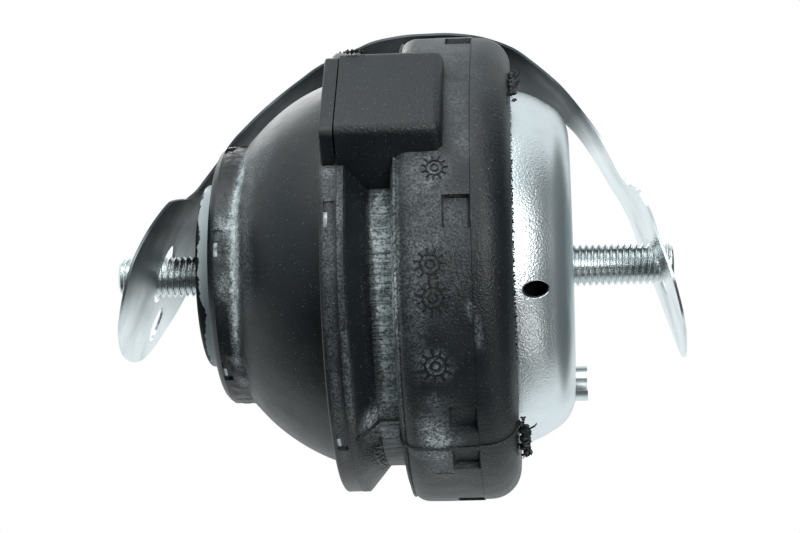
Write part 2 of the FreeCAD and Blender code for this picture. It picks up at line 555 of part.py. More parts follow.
# --- heat shield: a bent sheet given by its near and far edges ----------------------------------
# Each station is (x, z) of the near edge with its y, then (x, z) of the far edge with its y.
UPPER_PADDLE = [
    (-20.6, 107.4, -3.0, -20.6, 107.4, 3.0), (-19.6, 107.3, -11.0, -19.6, 107.3, 11.0),
    (-17.0, 106.7, -20.0, -17.0, 106.7, 20.0), (-12.8, 105.3, -28.5, -12.8, 105.3, 28.5),
    (-8.5, 103.5, -34.5, -8.5, 103.5, 34.5), (-3.2, 101.4, -39.0, -3.2, 101.4, 39.0),
    (2.6, 99.5, -40.0, 2.6, 99.5, 40.0), (6.6, 98.1, -38.0, 6.6, 98.1, 39.0),
    (11.8, 95.8, -34.0, 11.8, 95.8, 37.0), (16.7, 93.2, -28.0, 16.7, 93.2, 34.0)]
BOW = [
    (19.0, 92.0, -7.5, 18.2, 92.0, 32.0), (20.8, 90.4, -4.5, 19.6, 90.4, 31.0),
    (24.0, 88.3, -2.0, 21.6, 88.3, 30.5), (28.5, 85.1, 0.0, 24.4, 85.1, 31.0),
    (32.8, 82.0, 0.5, 27.0, 82.0, 32.5), (35.5, 79.5, 1.0, 29.0, 79.5, 34.0),
    (40.2, 74.9, 3.0, 32.6, 74.9, 37.5), (44.4, 70.1, 5.0, 35.8, 70.1, 40.5),
    (48.3, 65.4, 8.0, 38.8, 65.4, 42.5), (51.8, 60.6, 10.0, 41.6, 60.6, 44.0),
    (55.4, 51.7, 10.0, 44.4, 51.7, 45.0), (57.2, 47.1, 10.0, 45.6, 47.1, 45.0),
    (58.3, 40.2, 10.0, 46.5, 40.2, 45.0), (58.5, 34.7, 10.0, 46.8, 34.7, 45.0),
    (58.4, 28.0, 10.0, 46.8, 28.0, 45.0), (57.2, 20.5, 10.0, 46.0, 20.5, 45.0),
    (54.4, 13.2, 10.0, 44.4, 13.2, 45.0), (50.6, 8.3, 8.0, 42.4, 8.3, 44.5),
    (45.8, 3.3, 4.0, 39.9, 2.6, 43.5), (42.4, 0.3, 2.0, 37.4, -0.4, 42.0),
    (36.8, -3.8, 0.0, 33.6, -3.6, 39.0), (29.6, -8.4, -3.0, 26.6, -7.8, 34.0),
    (21.2, -12.4, -7.0, 19.6, -11.4, 29.5), (18.8, -14.2, -8.5, 17.6, -12.6, 28.5)]
LOWER_PADDLE = [
    (16.4, -15.8, -24.5, 15.2, -14.0, 28.6),
    (11.6, -17.8, -27.0, 10.8, -15.9, 28.8), (5.7, -19.6, -28.0, 5.2, -17.8, 28.6),
    (-1.5, -22.0, -28.0, -1.5, -20.3, 28.0), (-5.5, -23.1, -27.6, -5.5, -21.5, 27.4),
    (-10.8, -24.4, -25.4, -10.8, -23.2, 25.0), (-15.6, -25.4, -20.0, -15.6, -24.6, 19.6),
    (-19.6, -26.0, -12.5, -19.6, -25.6, 12.0), (-21.8, -26.3, -6.5, -21.8, -26.1, 6.2),
    (-22.7, -26.4, -2.0, -22.7, -26.4, 2.0)]

UPPER_SHOULDER_Y = -22.5
LOWER_SHOULDER_Y = -22.0
# The stations are written for this ring radius and seating height, and follow both.
STATION_RING, STATION_HEIGHT = 56.0, 88.3
WIDER, TALLER = size("ring_radius") / STATION_RING, size("disc_high") / STATION_HEIGHT


def fitted(station):
    """The station for the ring and the height that the mount has."""
    x1, z1, y1, x2, z2, y2 = station
    return (x1 * WIDER, z1 * TALLER, y1 * WIDER, x2 * WIDER, z2 * TALLER, y2 * WIDER)


UPPER_PADDLE, BOW, LOWER_PADDLE = ([fitted(station) for station in part]
                                   for part in (UPPER_PADDLE, BOW, LOWER_PADDLE))


def widened(station, near_y):
    """The same line across the sheet, carried on to another y at its near edge."""
    x1, z1, y1, x2, z2, y2 = station
    share = (near_y - y1) / (y2 - y1)
    return (x1 + (x2 - x1) * share, z1 + (z2 - z1) * share, near_y, x2, z2, y2)


def edge_points(stations):
    near = [V(s[0], s[2], s[1]) for s in stations]
    far = [V(s[3], s[5], s[4]) for s in stations]
    return near, far


all_near, all_far = edge_points(UPPER_PADDLE + BOW + LOWER_PADDLE)
middles = [(a + b) * 0.5 for a, b in zip(all_near, all_far)]


def sheet_normal(centre):
    """Direction across the sheet's thickness at a station, from its neighbours along the strip."""
    nearest = min(range(len(middles)), key=lambda i: abs(middles[i].z - centre.z)
                  + abs(middles[i].x - centre.x))
    low, high = max(nearest - 1, 0), min(nearest + 1, len(middles) - 1)
    return V(0, 1, 0).cross(middles[high] - middles[low]).normalize()


def sheet_loft(stations):
    half = size("shield_sheet") / 2
    near, far = edge_points(stations)
    sections = []
    for a, b in zip(near, far):
        normal = sheet_normal((a + b) * 0.5) * half
        sections.append(Part.makePolygon([a + normal, b + normal, b - normal, a - normal, a + normal]))
    return Part.makeLoft(sections, True, False)


def lofted(name, stations):
    piece = doc.addObject("Part::Feature", name)
    piece.Shape = sheet_loft(stations)
    return piece


shield_blank = joined("shield_blank", [
    lofted("shield_upper", UPPER_PADDLE + [widened(BOW[0], UPPER_SHOULDER_Y * WIDER)]),
    lofted("shield_bow", BOW),
    lofted("shield_lower", [widened(BOW[-1], LOWER_SHOULDER_Y * WIDER)] + LOWER_PADDLE)])
parts["heat_shield"] = cut("heat_shield", shield_blank, [
    upright_cylinder("upper_stud_hole", "upper_hole", "upper_cut_z", "shield_cut", x="upper_hole_x"),
    upright_cylinder("lower_stud_hole", "lower_hole", "lower_cut_z", "shield_cut", x="lower_hole_x"),
    upright_cylinder("small_hole", "side_hole", "upper_cut_z", "shield_cut",
                     x="side_hole_x", y="side_hole_y")])

doc.recompute()

# --- checks, then one file for each piece ---------------------------------------------------------
for item in doc.Objects:
    if "Invalid" in item.State or "Error" in item.State:
        raise RuntimeError("%s didn't build: %s" % (item.Name, item.State))
os.makedirs("parts", exist_ok=True)
for name, item in parts.items():
    item.Label = name
    solid = item.Shape
    if not solid.isValid() or len(solid.Solids) != 1:
        raise RuntimeError("%s: valid %s, solids %d" % (name, solid.isValid(), len(solid.Solids)))
    solid.exportStep("parts/%s.step" % name)
    box = solid.BoundBox
    print("%-16s %9.1f mm3  x %.1f..%.1f  y %.1f..%.1f  z %.1f..%.1f" % (
        name, solid.Volume, box.XMin, box.XMax, box.YMin, box.YMax, box.ZMin, box.ZMax))
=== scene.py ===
"""Hydraulic engine mount: rubber spring and buffer, pressed cup, studs and bowed shield."""

import math
import random
from functools import partial

import bmesh
import bpy
from bpy.props import FloatProperty, FloatVectorProperty, IntProperty, PointerProperty
from mathutils import Matrix, Vector, noise


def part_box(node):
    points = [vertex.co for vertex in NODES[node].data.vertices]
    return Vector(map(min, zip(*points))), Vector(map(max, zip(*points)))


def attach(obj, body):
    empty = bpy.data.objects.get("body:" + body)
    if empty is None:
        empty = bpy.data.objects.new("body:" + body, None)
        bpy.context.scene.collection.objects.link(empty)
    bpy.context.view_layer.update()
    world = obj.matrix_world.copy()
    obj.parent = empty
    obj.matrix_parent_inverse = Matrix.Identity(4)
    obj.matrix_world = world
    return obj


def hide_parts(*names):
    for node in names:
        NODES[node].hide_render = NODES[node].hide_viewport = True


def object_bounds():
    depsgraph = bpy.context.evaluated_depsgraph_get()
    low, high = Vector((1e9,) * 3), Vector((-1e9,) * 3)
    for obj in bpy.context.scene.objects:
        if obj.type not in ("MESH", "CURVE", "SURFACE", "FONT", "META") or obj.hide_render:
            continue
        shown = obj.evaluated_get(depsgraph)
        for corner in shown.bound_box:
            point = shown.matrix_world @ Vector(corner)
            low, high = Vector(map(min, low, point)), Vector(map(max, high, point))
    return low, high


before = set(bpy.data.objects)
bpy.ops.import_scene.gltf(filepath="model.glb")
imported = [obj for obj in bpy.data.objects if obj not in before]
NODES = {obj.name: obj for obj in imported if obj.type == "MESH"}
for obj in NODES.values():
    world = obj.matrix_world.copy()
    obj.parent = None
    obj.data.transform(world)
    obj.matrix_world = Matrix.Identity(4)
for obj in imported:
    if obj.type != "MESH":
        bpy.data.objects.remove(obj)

bl_info = {
    "name": "Hydraulic Engine Mount",
    "version": (1, 0, 0),
    "blender": (4, 5, 0),
    "location": "View3D > Sidebar > Engine Mount",
    "description": "Dresses an engine mount in moulded rubber and plated steel on a white stage",
    "category": "Add Mesh",
}

MM = 0.001
CAD_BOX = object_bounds()


def linear(hex_colour):
    """Linear RGB of an sRGB hex colour."""
    values = []
    for i in (1, 3, 5):
        c = int(hex_colour[i:i + 2], 16) / 255
        values.append(c / 12.92 if c <= 0.04045 else ((c + 0.055) / 1.055) ** 2.4)
    return tuple(values)


def per(millimetres):
    """Texture scale at which one cell is that wide."""
    return 1.0 / (millimetres * MM)


def node_span(node, axis):
    """Lowest and highest coordinate of a CAD node along an axis, in millimetres."""
    low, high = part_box(node)
    return low[axis] / MM, high[axis] / MM


# --- sizes and colours ----------------------------------------------------------------------------
class MountSizes(bpy.types.PropertyGroup):
    """Sizes of the mount's visible pieces."""

    thread_pitch: FloatProperty(name="Thread pitch", description="Pitch of the M10 studs",
                                default=1.5 * MM, unit="LENGTH", precision=5)
    thread_depth: FloatProperty(name="Thread depth", description="Crest to root of the stud thread",
                                default=0.86 * MM, unit="LENGTH", precision=5)
    sheet: FloatProperty(name="Shield sheet", description="Thickness of the heat shield",
                         default=0.6 * MM, unit="LENGTH", precision=5)
    ridge: FloatProperty(name="Mould ridge", description="Height of the ridge at the parting line",
                         default=0.42 * MM, unit="LENGTH", precision=5)
    dial_rib: FloatProperty(name="Dial rib", description="Height of the raised lines of the dials",
                            default=0.36 * MM, unit="LENGTH", precision=5)
    pocket: FloatProperty(name="Pocket depth", description="Depth of the recesses in the ring",
                          default=1.7 * MM, unit="LENGTH", precision=5)
    dial_ticks: IntProperty(name="Dial ticks", description="Ticks round each mould dial",
                            default=11, min=4, max=24)


def colour(name, description, hex_value):
    """Colour property with an sRGB hex default."""
    return FloatVectorProperty(name=name, description=description, subtype="COLOR", size=3,
                               min=0.0, max=1.0, default=linear(hex_value))


class MountFinishes(bpy.types.PropertyGroup):
    """Colours of the mount's materials and of its stage."""

    rubber: colour("Rubber", "Carbon-black filled natural rubber", "#0D1316")
    dusted: colour("Dusted rubber", "Rubber with a blasted, dusty face", "#182023")
    talc: colour("Talc", "Mould release powder and rubbed rubber", "#C2CBCD")
    film: colour("Coating film", "Thin rubber coat over the disc", "#B4BEC1")
    zinc: colour("Zinc", "Bright zinc plating", "#E6ECEE")
    # painted shade in the roots of the stud threads
    zinc_root_painted_shade: colour("Zinc, painted root shade", "Painted shade in the thread's roots", "#DCE0DF")
    # painted dark reflection on the shield's zinc towards the bow
    painted_dark_reflection: colour("Zinc, painted dark reflection", "Painted dark reflection on the zinc towards the shield's bow", "#2C373B")
    aluminium: colour("Aluminium", "Die-cast aluminium", "#9EA1A3")
    steel: colour("Steel", "Plain pressed steel", "#7C8082")
    floor: colour("Floor", "Grey floor, which looks white to the camera", "#5A5F61")


# --- mesh helpers ---------------------------------------------------------------------------------
def mesh_from(bm, name):
    """Mesh of that name with its faces turned outwards; bm is used up."""
    bmesh.ops.recalc_face_normals(bm, faces=bm.faces)
    mesh = bpy.data.meshes.new(name)
    bm.to_mesh(mesh)
    bm.free()
    return mesh


def smooth(mesh, sharp):
    """Smooth shading but for edges sharper than that angle in degrees."""
    mesh.shade_smooth()
    mesh.set_sharp_from_angle(angle=math.radians(sharp))


def add_piece(name, bm, material, sharp=35.0):
    """Object with the named finish for a finished shape, riding on the root body."""
    mesh = mesh_from(bm, name)
    mesh.validate()
    smooth(mesh, sharp)
    piece = bpy.data.objects.new(name, mesh)
    bpy.context.scene.collection.objects.link(piece)
    mesh.materials.append(finish(material))
    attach(piece, "root")
    return piece


def skin(bm, rows, closed_rows=False, closed=True):
    """Quads between rows of vertices.

    closed joins the two ends of each row, and closed_rows joins the last row to the first.
    """
    following = rows[1:] + rows[:1] if closed_rows else rows[1:]
    for row, after in zip(rows, following):
        for j in range(len(row) if closed else len(row) - 1):
            k = (j + 1) % len(row)
            bm.faces.new((row[j], row[k], after[k], after[j]))


def around(radius, angle, height):
    """Point in metres from a radius, an angle in degrees and a height, both in millimetres."""
    a = math.radians(angle)
    return Vector((radius * math.cos(a), radius * math.sin(a), height)) * MM


def ring_grid(bm, angles, outline, relief, marks=()):
    """Closed ring of quads round the axis.

    outline is (radius, height) in mm, relief moves a point along the radius, and marks are pairs of
    a mark's name and the function that gives its value.
    """
    layers = {name: bm.verts.layers.float.get(name) or bm.verts.layers.float.new(name)
              for name, _ in marks}
    rows = []
    for angle in angles:
        row = []
        for radius, height in outline:
            vert = bm.verts.new(around(radius + relief(angle, radius, height), angle, height))
            for name, value in marks:
                vert[layers[name]] = value(angle, radius, height)
            row.append(vert)
        rows.append(row)
    skin(bm, rows, closed_rows=True)


def arc(centre, radius, start, end, steps):
    """Points of an arc in the (radius, height) plane; angles in degrees."""
    points = []
    for i in range(steps + 1):
        a = math.radians(start + (end - start) * i / steps)
        points.append((centre[0] + radius * math.cos(a), centre[1] + radius * math.sin(a)))
    return points


def bulge(start, end, radius, steps):
    """Arc of that radius from start to end that bulges away from the axis."""
    (x1, z1), (x2, z2) = start, end
    mid, chord = Vector(((x1 + x2) / 2, (z1 + z2) / 2)), Vector((x2 - x1, z2 - z1))
    side = Vector((-chord.y, chord.x)).normalized()
    centre = mid + side * math.sqrt(radius ** 2 - (chord.length / 2) ** 2)
    a1 = math.degrees(math.atan2(z1 - centre.y, x1 - centre.x))
    a2 = math.degrees(math.atan2(z2 - centre.y, x2 - centre.x))
    return arc(centre, radius, a1, a2, steps)


def straight(start, end, step):
    """Points from start towards end, without end, no further apart than step."""
    length = math.dist(start, end)
    count = max(1, math.ceil(length / step))
    return [(start[0] + (end[0] - start[0]) * i / count, start[1] + (end[1] - start[1]) * i / count)
            for i in range(count)]


def with_edges(values, edges, gap):
    """Sorted values with a close pair of lines at each edge, so that a wall there is steep."""
    pairs = [e + side * gap for e in edges for side in (-0.5, 0.5)]
    kept = [v for v in values if all(abs(v - e) > 2 * gap for e in edges)]
    return sorted(kept + pairs)


def turn_apart(a, b):
    """Difference of two angles in degrees, from -180 to 180."""
    return (a - b + 180.0) % 360.0 - 180.0


def patch_mark(patches):
    """Mark value from soft patches of (angle, height, half angle, half height, strength)."""
    def value(angle, radius, height):
        total = 0.0
        for a, h, da, dh, strength in patches:
            far = (turn_apart(angle, a) / da) ** 2 + ((height - h) / dh) ** 2
            if far < 6.0:
                total += strength * math.exp(-far * far)
        return min(total, 1.0)
    return value


def rib(bm, path, normals, width, height, closed=False):
    """Raised line of mould flash or marking along a path that lies on a surface."""
    rings = []
    count = len(path)
    for i, (point, normal) in enumerate(zip(path, normals)):
        before = path[i - 1] if i or closed else path[i]
        after = path[(i + 1) % count] if i < count - 1 or closed else path[i]
        side = (after - before).cross(normal).normalized() * (width / 2)
        low, top = point - normal * height * 0.5, point + normal * height
        rings.append([bm.verts.new(p) for p in (low - side * 1.3, top - side * 0.55,
                                                top + side * 0.55, low + side * 1.3)])
    skin(bm, rings, closed_rows=closed)
    if not closed:
        bm.faces.new(rings[0])
        bm.faces.new(tuple(reversed(rings[-1])))


def prism(bm, corners, low, high):
    """Upright prism from corners across the axis, in mm; returns its bottom and top vertices."""
    bottom = [bm.verts.new(Vector((x, y, low)) * MM) for x, y in corners]
    top = [bm.verts.new(Vector((x, y, high)) * MM) for x, y in corners]
    bm.faces.new(tuple(reversed(bottom)))
    bm.faces.new(tuple(top))
    skin(bm, [bottom, top])
    return bottom, top


def drilled(piece, cutters):
    """Cuts each cutter's shape out of a piece, for good."""
    for i, cutter in enumerate(cutters):
        bpy.context.scene.collection.objects.link(cutter)
        hole = piece.modifiers.new("hole_%d" % i, "BOOLEAN")
        hole.operation, hole.object, hole.solver = "DIFFERENCE", cutter, "EXACT"
    depsgraph = bpy.context.evaluated_depsgraph_get()
    cut = bpy.data.meshes.new_from_object(piece.evaluated_get(depsgraph))
    piece.modifiers.clear()
    piece.data = cut
    smooth(cut, 40.0)
    for cutter in cutters:
        bpy.data.objects.remove(cutter)


def oval_cutter(place, half_length, half_width, depth, turned=Matrix.Identity(4)):
    """Oval cylinder to cut with: its place in metres, its half sizes and depth in millimetres."""
    bm = bmesh.new()
    bmesh.ops.create_cone(
        bm, segments=64, radius1=1.0, radius2=1.0, depth=1.0, cap_ends=True,
        matrix=Matrix.Translation(place) @ turned @ Matrix.Diagonal(
            (half_length * MM, half_width * MM, depth * MM, 1.0)))
    return bpy.data.objects.new("hole_cutter", mesh_from(bm, "hole_cutter"))


# --- material helpers -----------------------------------------------------------------------------
BLACK, WHITE = (0.0, 0.0, 0.0), (1.0, 1.0, 1.0)
RUBBER_IOR = 1.5
EVEN = 0.55  # how strongly each finer octave of a noise shows


def opaque(rgb):
    """Colour with an alpha of 1."""
    return (rgb[0], rgb[1], rgb[2], 1.0)


def add_node(owner, kind, inputs=(), output=0, **settings):
    """Adds a node with its settings and links, and returns one of its outputs.

    inputs holds values or other nodes' outputs, in the node's own order or by name or number.
    """
    tree = owner.node_tree
    node = tree.nodes.new("ShaderNode" + kind)
    for name, value in settings.items():
        setattr(node, name, value)
    for name, value in inputs.items() if isinstance(inputs, dict) else enumerate(inputs):
        socket = node.inputs[name]
        if isinstance(value, bpy.types.NodeSocket):
            tree.links.new(value, socket)
        else:
            socket.default_value = opaque(value) if socket.type == "RGBA" else value
    return node.outputs[output]


def new_material(name):
    """Node material, its Principled shader, a call that adds nodes, and the part's coordinates."""
    material = bpy.data.materials.new(name)
    material.use_nodes = True
    add = partial(add_node, material)
    return (material, material.node_tree.nodes["Principled BSDF"], add,
            add("TexCoord", output="Object"))


def finish_material(material, shader, links):
    """Links outputs to the shader's sockets."""
    for socket, output in links.items():
        material.node_tree.links.new(output, shader.inputs[socket])
    return material


def talc_cover(add, place, pebble):
    """Talc from the mesh's mark: grainy dust that sits on the pebbles' tops, partly painted glints
    there, solid where it lies thick, and stray specks.
    """
    talc = add("Attribute", output="Fac", attribute_name="talc")
    mottle, patches, specks = (
        add("TexNoise", {"Vector": place, "Scale": per(cell), "Detail": detail, "Roughness": rough})
        for cell, detail, rough in ((1.1, 9.0, 0.78), (3.5, 5.0, 0.6), (0.32, 0.0, EVEN)))
    lying = add("MapRange", (patches, 0.35, 0.65, 0.4, 1.0))
    dust = add("Math", (talc, lying), operation="MULTIPLY")
    # pale dust on the pebbles' tops: partly dust, partly painted glints on the bumps
    dust_and_painted_glints = add("MapRange", (pebble, 0.38, 0.66, 0.1, 1.0))
    dust = add("Math", (dust, dust_and_painted_glints), operation="MULTIPLY")
    start = add("MapRange", (talc, 0.4, 1.0, 1.05, 0.1))
    worn = add("Math", (add("MapRange", (mottle, 0.34, 0.66)), start), operation="SUBTRACT")
    worn = add("MapRange", (worn, 0.0, 0.6, 0.0, 0.6))
    stray = add("MapRange", (specks, 0.80, 0.83, 0.0, 0.3))
    cover = add("Math", (dust, worn), operation="ADD")
    cover = add("Math", (cover, stray), operation="MAXIMUM")
    return add("Math", (cover, 1.0), operation="MINIMUM")


def moulded_rubber(finishes):
    """Carbon-black natural rubber, compression moulded: near black, satin, with talc in patches."""
    material, shader, add, place = new_material("natural_rubber_moulded")
    shader.inputs["IOR"].default_value = RUBBER_IOR
    fine, broad = (
        add("TexNoise", {"Vector": place, "Scale": per(cell), "Detail": detail, "Roughness": EVEN})
        for cell, detail in ((0.45, 3.0), (9.0, 4.0)))
    dusty = talc_cover(add, place, fine)
    base = add("Mix", {0: add("MapRange", (broad, 0.35, 0.7, 0.0, 0.2)), 6: finishes.rubber,
                       7: finishes.dusted}, 2, data_type="RGBA")
    satin = add("MapRange", (broad, 0.3, 0.7, 0.36, 0.46))
    dull = add("Math", (dusty, 0.4), operation="MULTIPLY")
    swell = add("Bump", {"Height": broad, "Distance": 0.2 * MM})
    return finish_material(material, shader, {
        "Base Color": add("Mix", {0: dusty, 6: base, 7: finishes.talc}, 2, data_type="RGBA"),
        "Roughness": add("Math", (satin, dull), operation="ADD"),
        "Normal": add("Bump", {"Height": fine, "Distance": 0.04 * MM, "Normal": swell})})


def blasted_rubber(finishes):
    """Rubber from a grit-blasted mould: matt, pebbled, grey where talc and handling dulled it."""
    material, shader, add, place = new_material("natural_rubber_blasted_mould")
    shader.inputs["IOR"].default_value = RUBBER_IOR
    pebble, broad = (
        add("TexNoise", {"Vector": place, "Scale": per(cell), "Detail": detail, "Roughness": EVEN})
        for cell, detail in ((0.55, 2.0), (11.0, 4.0)))
    dusty = talc_cover(add, place, pebble)
    base = add("Mix", {0: add("MapRange", (broad, 0.35, 0.75, 0.0, 0.8)), 6: finishes.rubber,
                       7: finishes.dusted}, 2, data_type="RGBA")
    # the neck's fine ribs run along the axis
    drawn_out = add("Mapping", {"Vector": place, "Scale": (1.0, 0.35, 0.12)})
    ribs = add("TexNoise", {"Vector": drawn_out, "Scale": per(0.75), "Detail": 2.0,
                            "Roughness": 0.5})
    combed = add("Attribute", output="Fac", attribute_name="comb")
    ribs = add("Math", (add("MapRange", (ribs, 0.44, 0.6)), combed), operation="MULTIPLY")
    kept = add("MapRange", (ribs, 0.0, 1.0, 1.0, 0.5))
    dusted = add("Math", (dusty, kept), operation="MULTIPLY")
    satin = add("MapRange", (broad, 0.3, 0.7, 0.38, 0.5))
    dull = add("Math", (dusty, 0.35), operation="MULTIPLY")
    relief = add("Bump", {"Height": broad, "Distance": 0.25 * MM})
    relief = add("Bump", {"Height": pebble, "Distance": 0.17 * MM, "Normal": relief})
    return finish_material(material, shader, {
        "Base Color": add("Mix", {0: dusted, 6: base, 7: finishes.talc}, 2, data_type="RGBA"),
        "Roughness": add("Math", (satin, dull), operation="ADD"),
        "Normal": add("Bump", {"Height": ribs, "Distance": 0.2 * MM, "Normal": relief})})


def film_rubber(finishes):
    """Thin rubber coat sprayed on steel, torn along the rim: mid grey film over black."""
    material, shader, add, place = new_material("rubber_coat_torn")
    shader.inputs["IOR"].default_value = RUBBER_IOR
    tear, fine = (
        add("TexNoise", {"Vector": place, "Scale": per(cell), "Detail": detail, "Roughness": rough})
        for cell, detail, rough in ((5.0, 6.0, 0.65), (0.5, 3.0, EVEN)))
    height = add("SeparateXYZ", (place,), "Z")
    across = height.node.outputs["X"]
    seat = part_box("top_disc")[1].z
    rim = add("MapRange", (height, seat - 3.0 * MM, seat))
    side = add("MapRange", (across, -2.0 * MM, -8.0 * MM, 0.0, 0.32))
    low = add("MapRange", (across, -13.0 * MM, -16.0 * MM, 0.0, -0.32))
    edge = add("Math", (rim, add("Math", (side, low), operation="ADD")), operation="ADD")
    ragged = add("MapRange", (tear, 0.3, 0.7, -0.28, 0.28))
    torn = add("MapRange", (add("Math", (edge, ragged), operation="ADD"), 0.72, 0.76))
    step = add("Bump", {"Height": torn, "Distance": -0.06 * MM})
    return finish_material(material, shader, {
        "Base Color": add("Mix", {0: torn, 6: finishes.film, 7: finishes.rubber}, 2,
                          data_type="RGBA"),
        "Roughness": add("MapRange", (tear, 0.3, 0.7, 0.45, 0.6)),
        "Normal": add("Bump", {"Height": fine, "Distance": 0.02 * MM, "Normal": step})})


def pressed_zinc(finishes):
    """Bright zinc plate on drawn steel: pale blue-grey metal with a fine orange peel."""
    material, shader, add, place = new_material("zinc_plate_pressed_steel")
    shader.inputs["Metallic"].default_value = 1.0
    peel, cloud = (
        add("TexNoise", {"Vector": place, "Scale": per(cell), "Detail": detail, "Roughness": EVEN})
        for cell, detail in ((0.5, 1.0), (14.0, 3.0)))
    wall = add("MapRange", (add("SeparateXYZ", (place,), "Z"), 3.0 * MM, 8.0 * MM))
    peeled = add("Math", (peel, wall), operation="MULTIPLY")
    shade = add("MapRange", (cloud, 0.3, 0.7, 0.0, 0.16))
    return finish_material(material, shader, {
        "Base Color": add("Mix", {0: shade, 6: finishes.zinc, 7: finishes.steel}, 2,
                          data_type="RGBA"),
        "Roughness": add("MapRange", (cloud, 0.3, 0.7, 0.3, 0.38)),
        "Normal": add("Bump", {"Height": peeled, "Distance": 0.11 * MM})})


def sheet_zinc(finishes):
    """Zinc-coated rolled sheet: smoother than the cup, cloudy, and rougher towards the bow, with a
    painted dark reflection there.
    """
    material, shader, add, place = new_material("zinc_coat_rolled_sheet")
    shader.inputs["Metallic"].default_value = 1.0
    cloud, fine = (
        add("TexNoise", {"Vector": place, "Scale": per(cell), "Detail": detail, "Roughness": EVEN})
        for cell, detail in ((22.0, 3.0), (0.6, 2.0)))
    across = add("SeparateXYZ", (place,), "X")
    # painted dark reflection: the zinc turns darker towards the bow on both arms
    engine_arm = add("Math", (
        add("MapRange", (across, -15.0 * MM, 12.0 * MM)),
        add("MapRange", (across.node.outputs["Z"], 40.0 * MM, 55.0 * MM))), operation="MULTIPLY")
    body_arm = add("MapRange", (across, 27.0 * MM, 38.0 * MM))
    dark_reflection_share = add("Math", (engine_arm, body_arm), operation="MAXIMUM")
    uneven = add("MapRange", (cloud, 0.3, 0.7, -0.1, 0.1))
    dark_reflection_share = add("MapRange", (add("Math", (dark_reflection_share, uneven), operation="ADD"), 0.0, 1.0, 0.0, 0.96))
    plated = add("Mix", {0: add("MapRange", (cloud, 0.3, 0.7, 0.0, 0.2)), 6: finishes.zinc,
                         7: finishes.steel}, 2, data_type="RGBA")
    satin = add("MapRange", (cloud, 0.3, 0.7, 0.16, 0.26))
    dull = add("Math", (dark_reflection_share, 0.34), operation="MULTIPLY")
    return finish_material(material, shader, {
        "Base Color": add("Mix", {0: dark_reflection_share, 6: plated, 7: finishes.painted_dark_reflection}, 2, data_type="RGBA"),
        "Roughness": add("Math", (satin, dull), operation="ADD"),
        "Normal": add("Bump", {"Height": fine, "Distance": 0.006 * MM})})


def threaded_zinc(finishes):
    """Zinc plate on a rolled thread: bright crests, and roots painted a duller, warmer grey as
    painted shade.
    """
    material, shader, add, place = new_material("zinc_plate_rolled_thread")
    shader.inputs["Metallic"].default_value = 1.0
    root = add("Attribute", output="Fac", attribute_name="root")
    fine = add("TexNoise", {"Vector": place, "Scale": per(0.4), "Detail": 3.0, "Roughness": EVEN})
    return finish_material(material, shader, {
        "Base Color": add("Mix", {0: root, 6: finishes.zinc, 7: finishes.zinc_root_painted_shade}, 2,
                          data_type="RGBA"),
        "Roughness": add("MapRange", (fine, 0.3, 0.7, 0.22, 0.32)),
        "Normal": add("Bump", {"Height": fine, "Distance": 0.015 * MM})})


def cast_aluminium(finishes):
    """Die-cast aluminium: pale, matt and slightly pitted."""
    material, shader, add, place = new_material("aluminium_die_cast")
    shader.inputs["Metallic"].default_value = 1.0
    pits = add("TexNoise", {"Vector": place, "Scale": per(0.8), "Detail": 4.0, "Roughness": EVEN})
    return finish_material(material, shader, {
        "Base Color": add("Mix", {0: add("MapRange", (pits, 0.3, 0.7)), 6: finishes.aluminium,
                                  7: finishes.steel}, 2, data_type="RGBA"),
        "Roughness": add("MapRange", (pits, 0.3, 0.7, 0.45, 0.6)),
        "Normal": add("Bump", {"Height": pits, "Distance": 0.05 * MM})})


def plain_steel(finishes):
    """Pressed low-carbon steel without a finish: mid grey with faint clouding."""
    material, shader, add, place = new_material("steel_pressed")
    shader.inputs["Metallic"].default_value = 1.0
    cloud = add("TexNoise", {"Vector": place, "Scale": per(1.5), "Detail": 3.0, "Roughness": EVEN})
    return finish_material(material, shader, {
        "Base Color": add("Mix", {0: add("MapRange", (cloud, 0.3, 0.7)), 6: finishes.steel,
                                  7: finishes.zinc}, 2, data_type="RGBA"),
        "Roughness": add("MapRange", (cloud, 0.3, 0.7, 0.3, 0.42)),
        "Normal": add("Bump", {"Height": cloud, "Distance": 0.01 * MM})})


MAKERS = {
    "moulded_rubber": moulded_rubber, "blasted_rubber": blasted_rubber, "film_rubber": film_rubber,
    "pressed_zinc": pressed_zinc, "sheet_zinc": sheet_zinc, "threaded_zinc": threaded_zinc,
    "cast_aluminium": cast_aluminium, "plain_steel": plain_steel,
}
made_materials = {}


def finish(name):
    """The named material, made once."""
    if name not in made_materials:
        made_materials[name] = MAKERS[name](bpy.context.scene.mount_finishes)
    return made_materials[name]


def dress(node, material):
    """Gives a carried-over CAD node its material."""
    mesh = NODES[node].data
    mesh.materials.clear()
    mesh.materials.append(finish(material))


# --- outlines, in millimetres ---------------------------------------------------------------------
RING_ANGLE_STEP = 1.25
RING_RADIUS = 56.0
# where the buffer ends and the spring's flange starts
BUFFER_TOP, FLANGE_FOOT = 51.38, 51.42
POCKET_ANGLES = (-16.4, -77.0, -126.4, -140.0, -168.0, 136.0, 100.0, 56.0)
POCKET_HALF = 3.9
POCKET_LOW, POCKET_HIGH = 22.25, 28.4
POCKET_WALL = 0.45
PARTING_ANGLES = (-135.5, 44.5)
# plain raised field on the ring: angles, heights, how proud
FIELD_ANGLES, FIELD_HEIGHTS, FIELD_PROUD = (-145.9, -139.0), (28.9, 33.2), 0.14
SLOT_ANGLES = [-76.0 + 60.0 * i for i in range(6)]
# lower edge, upper edge, half angle, radius of the bare steel, radius of the film, edge of the film
COLLAR_SLOT = (80.2, 82.3, 5.7, 30.3, 30.75, 81.5)
FLANGE_SLOT = (51.9, 54.3, 3.05, 52.2, 52.75, 53.5)
LUG = [(17.3, -43.3), (31.1, -53.5), (50.1, -34.0), (41.0, -22.0)]
LUG_SET_BACK = [(17.3, -43.3), (30.5, -52.9), (49.5, -33.4), (41.0, -22.0)]

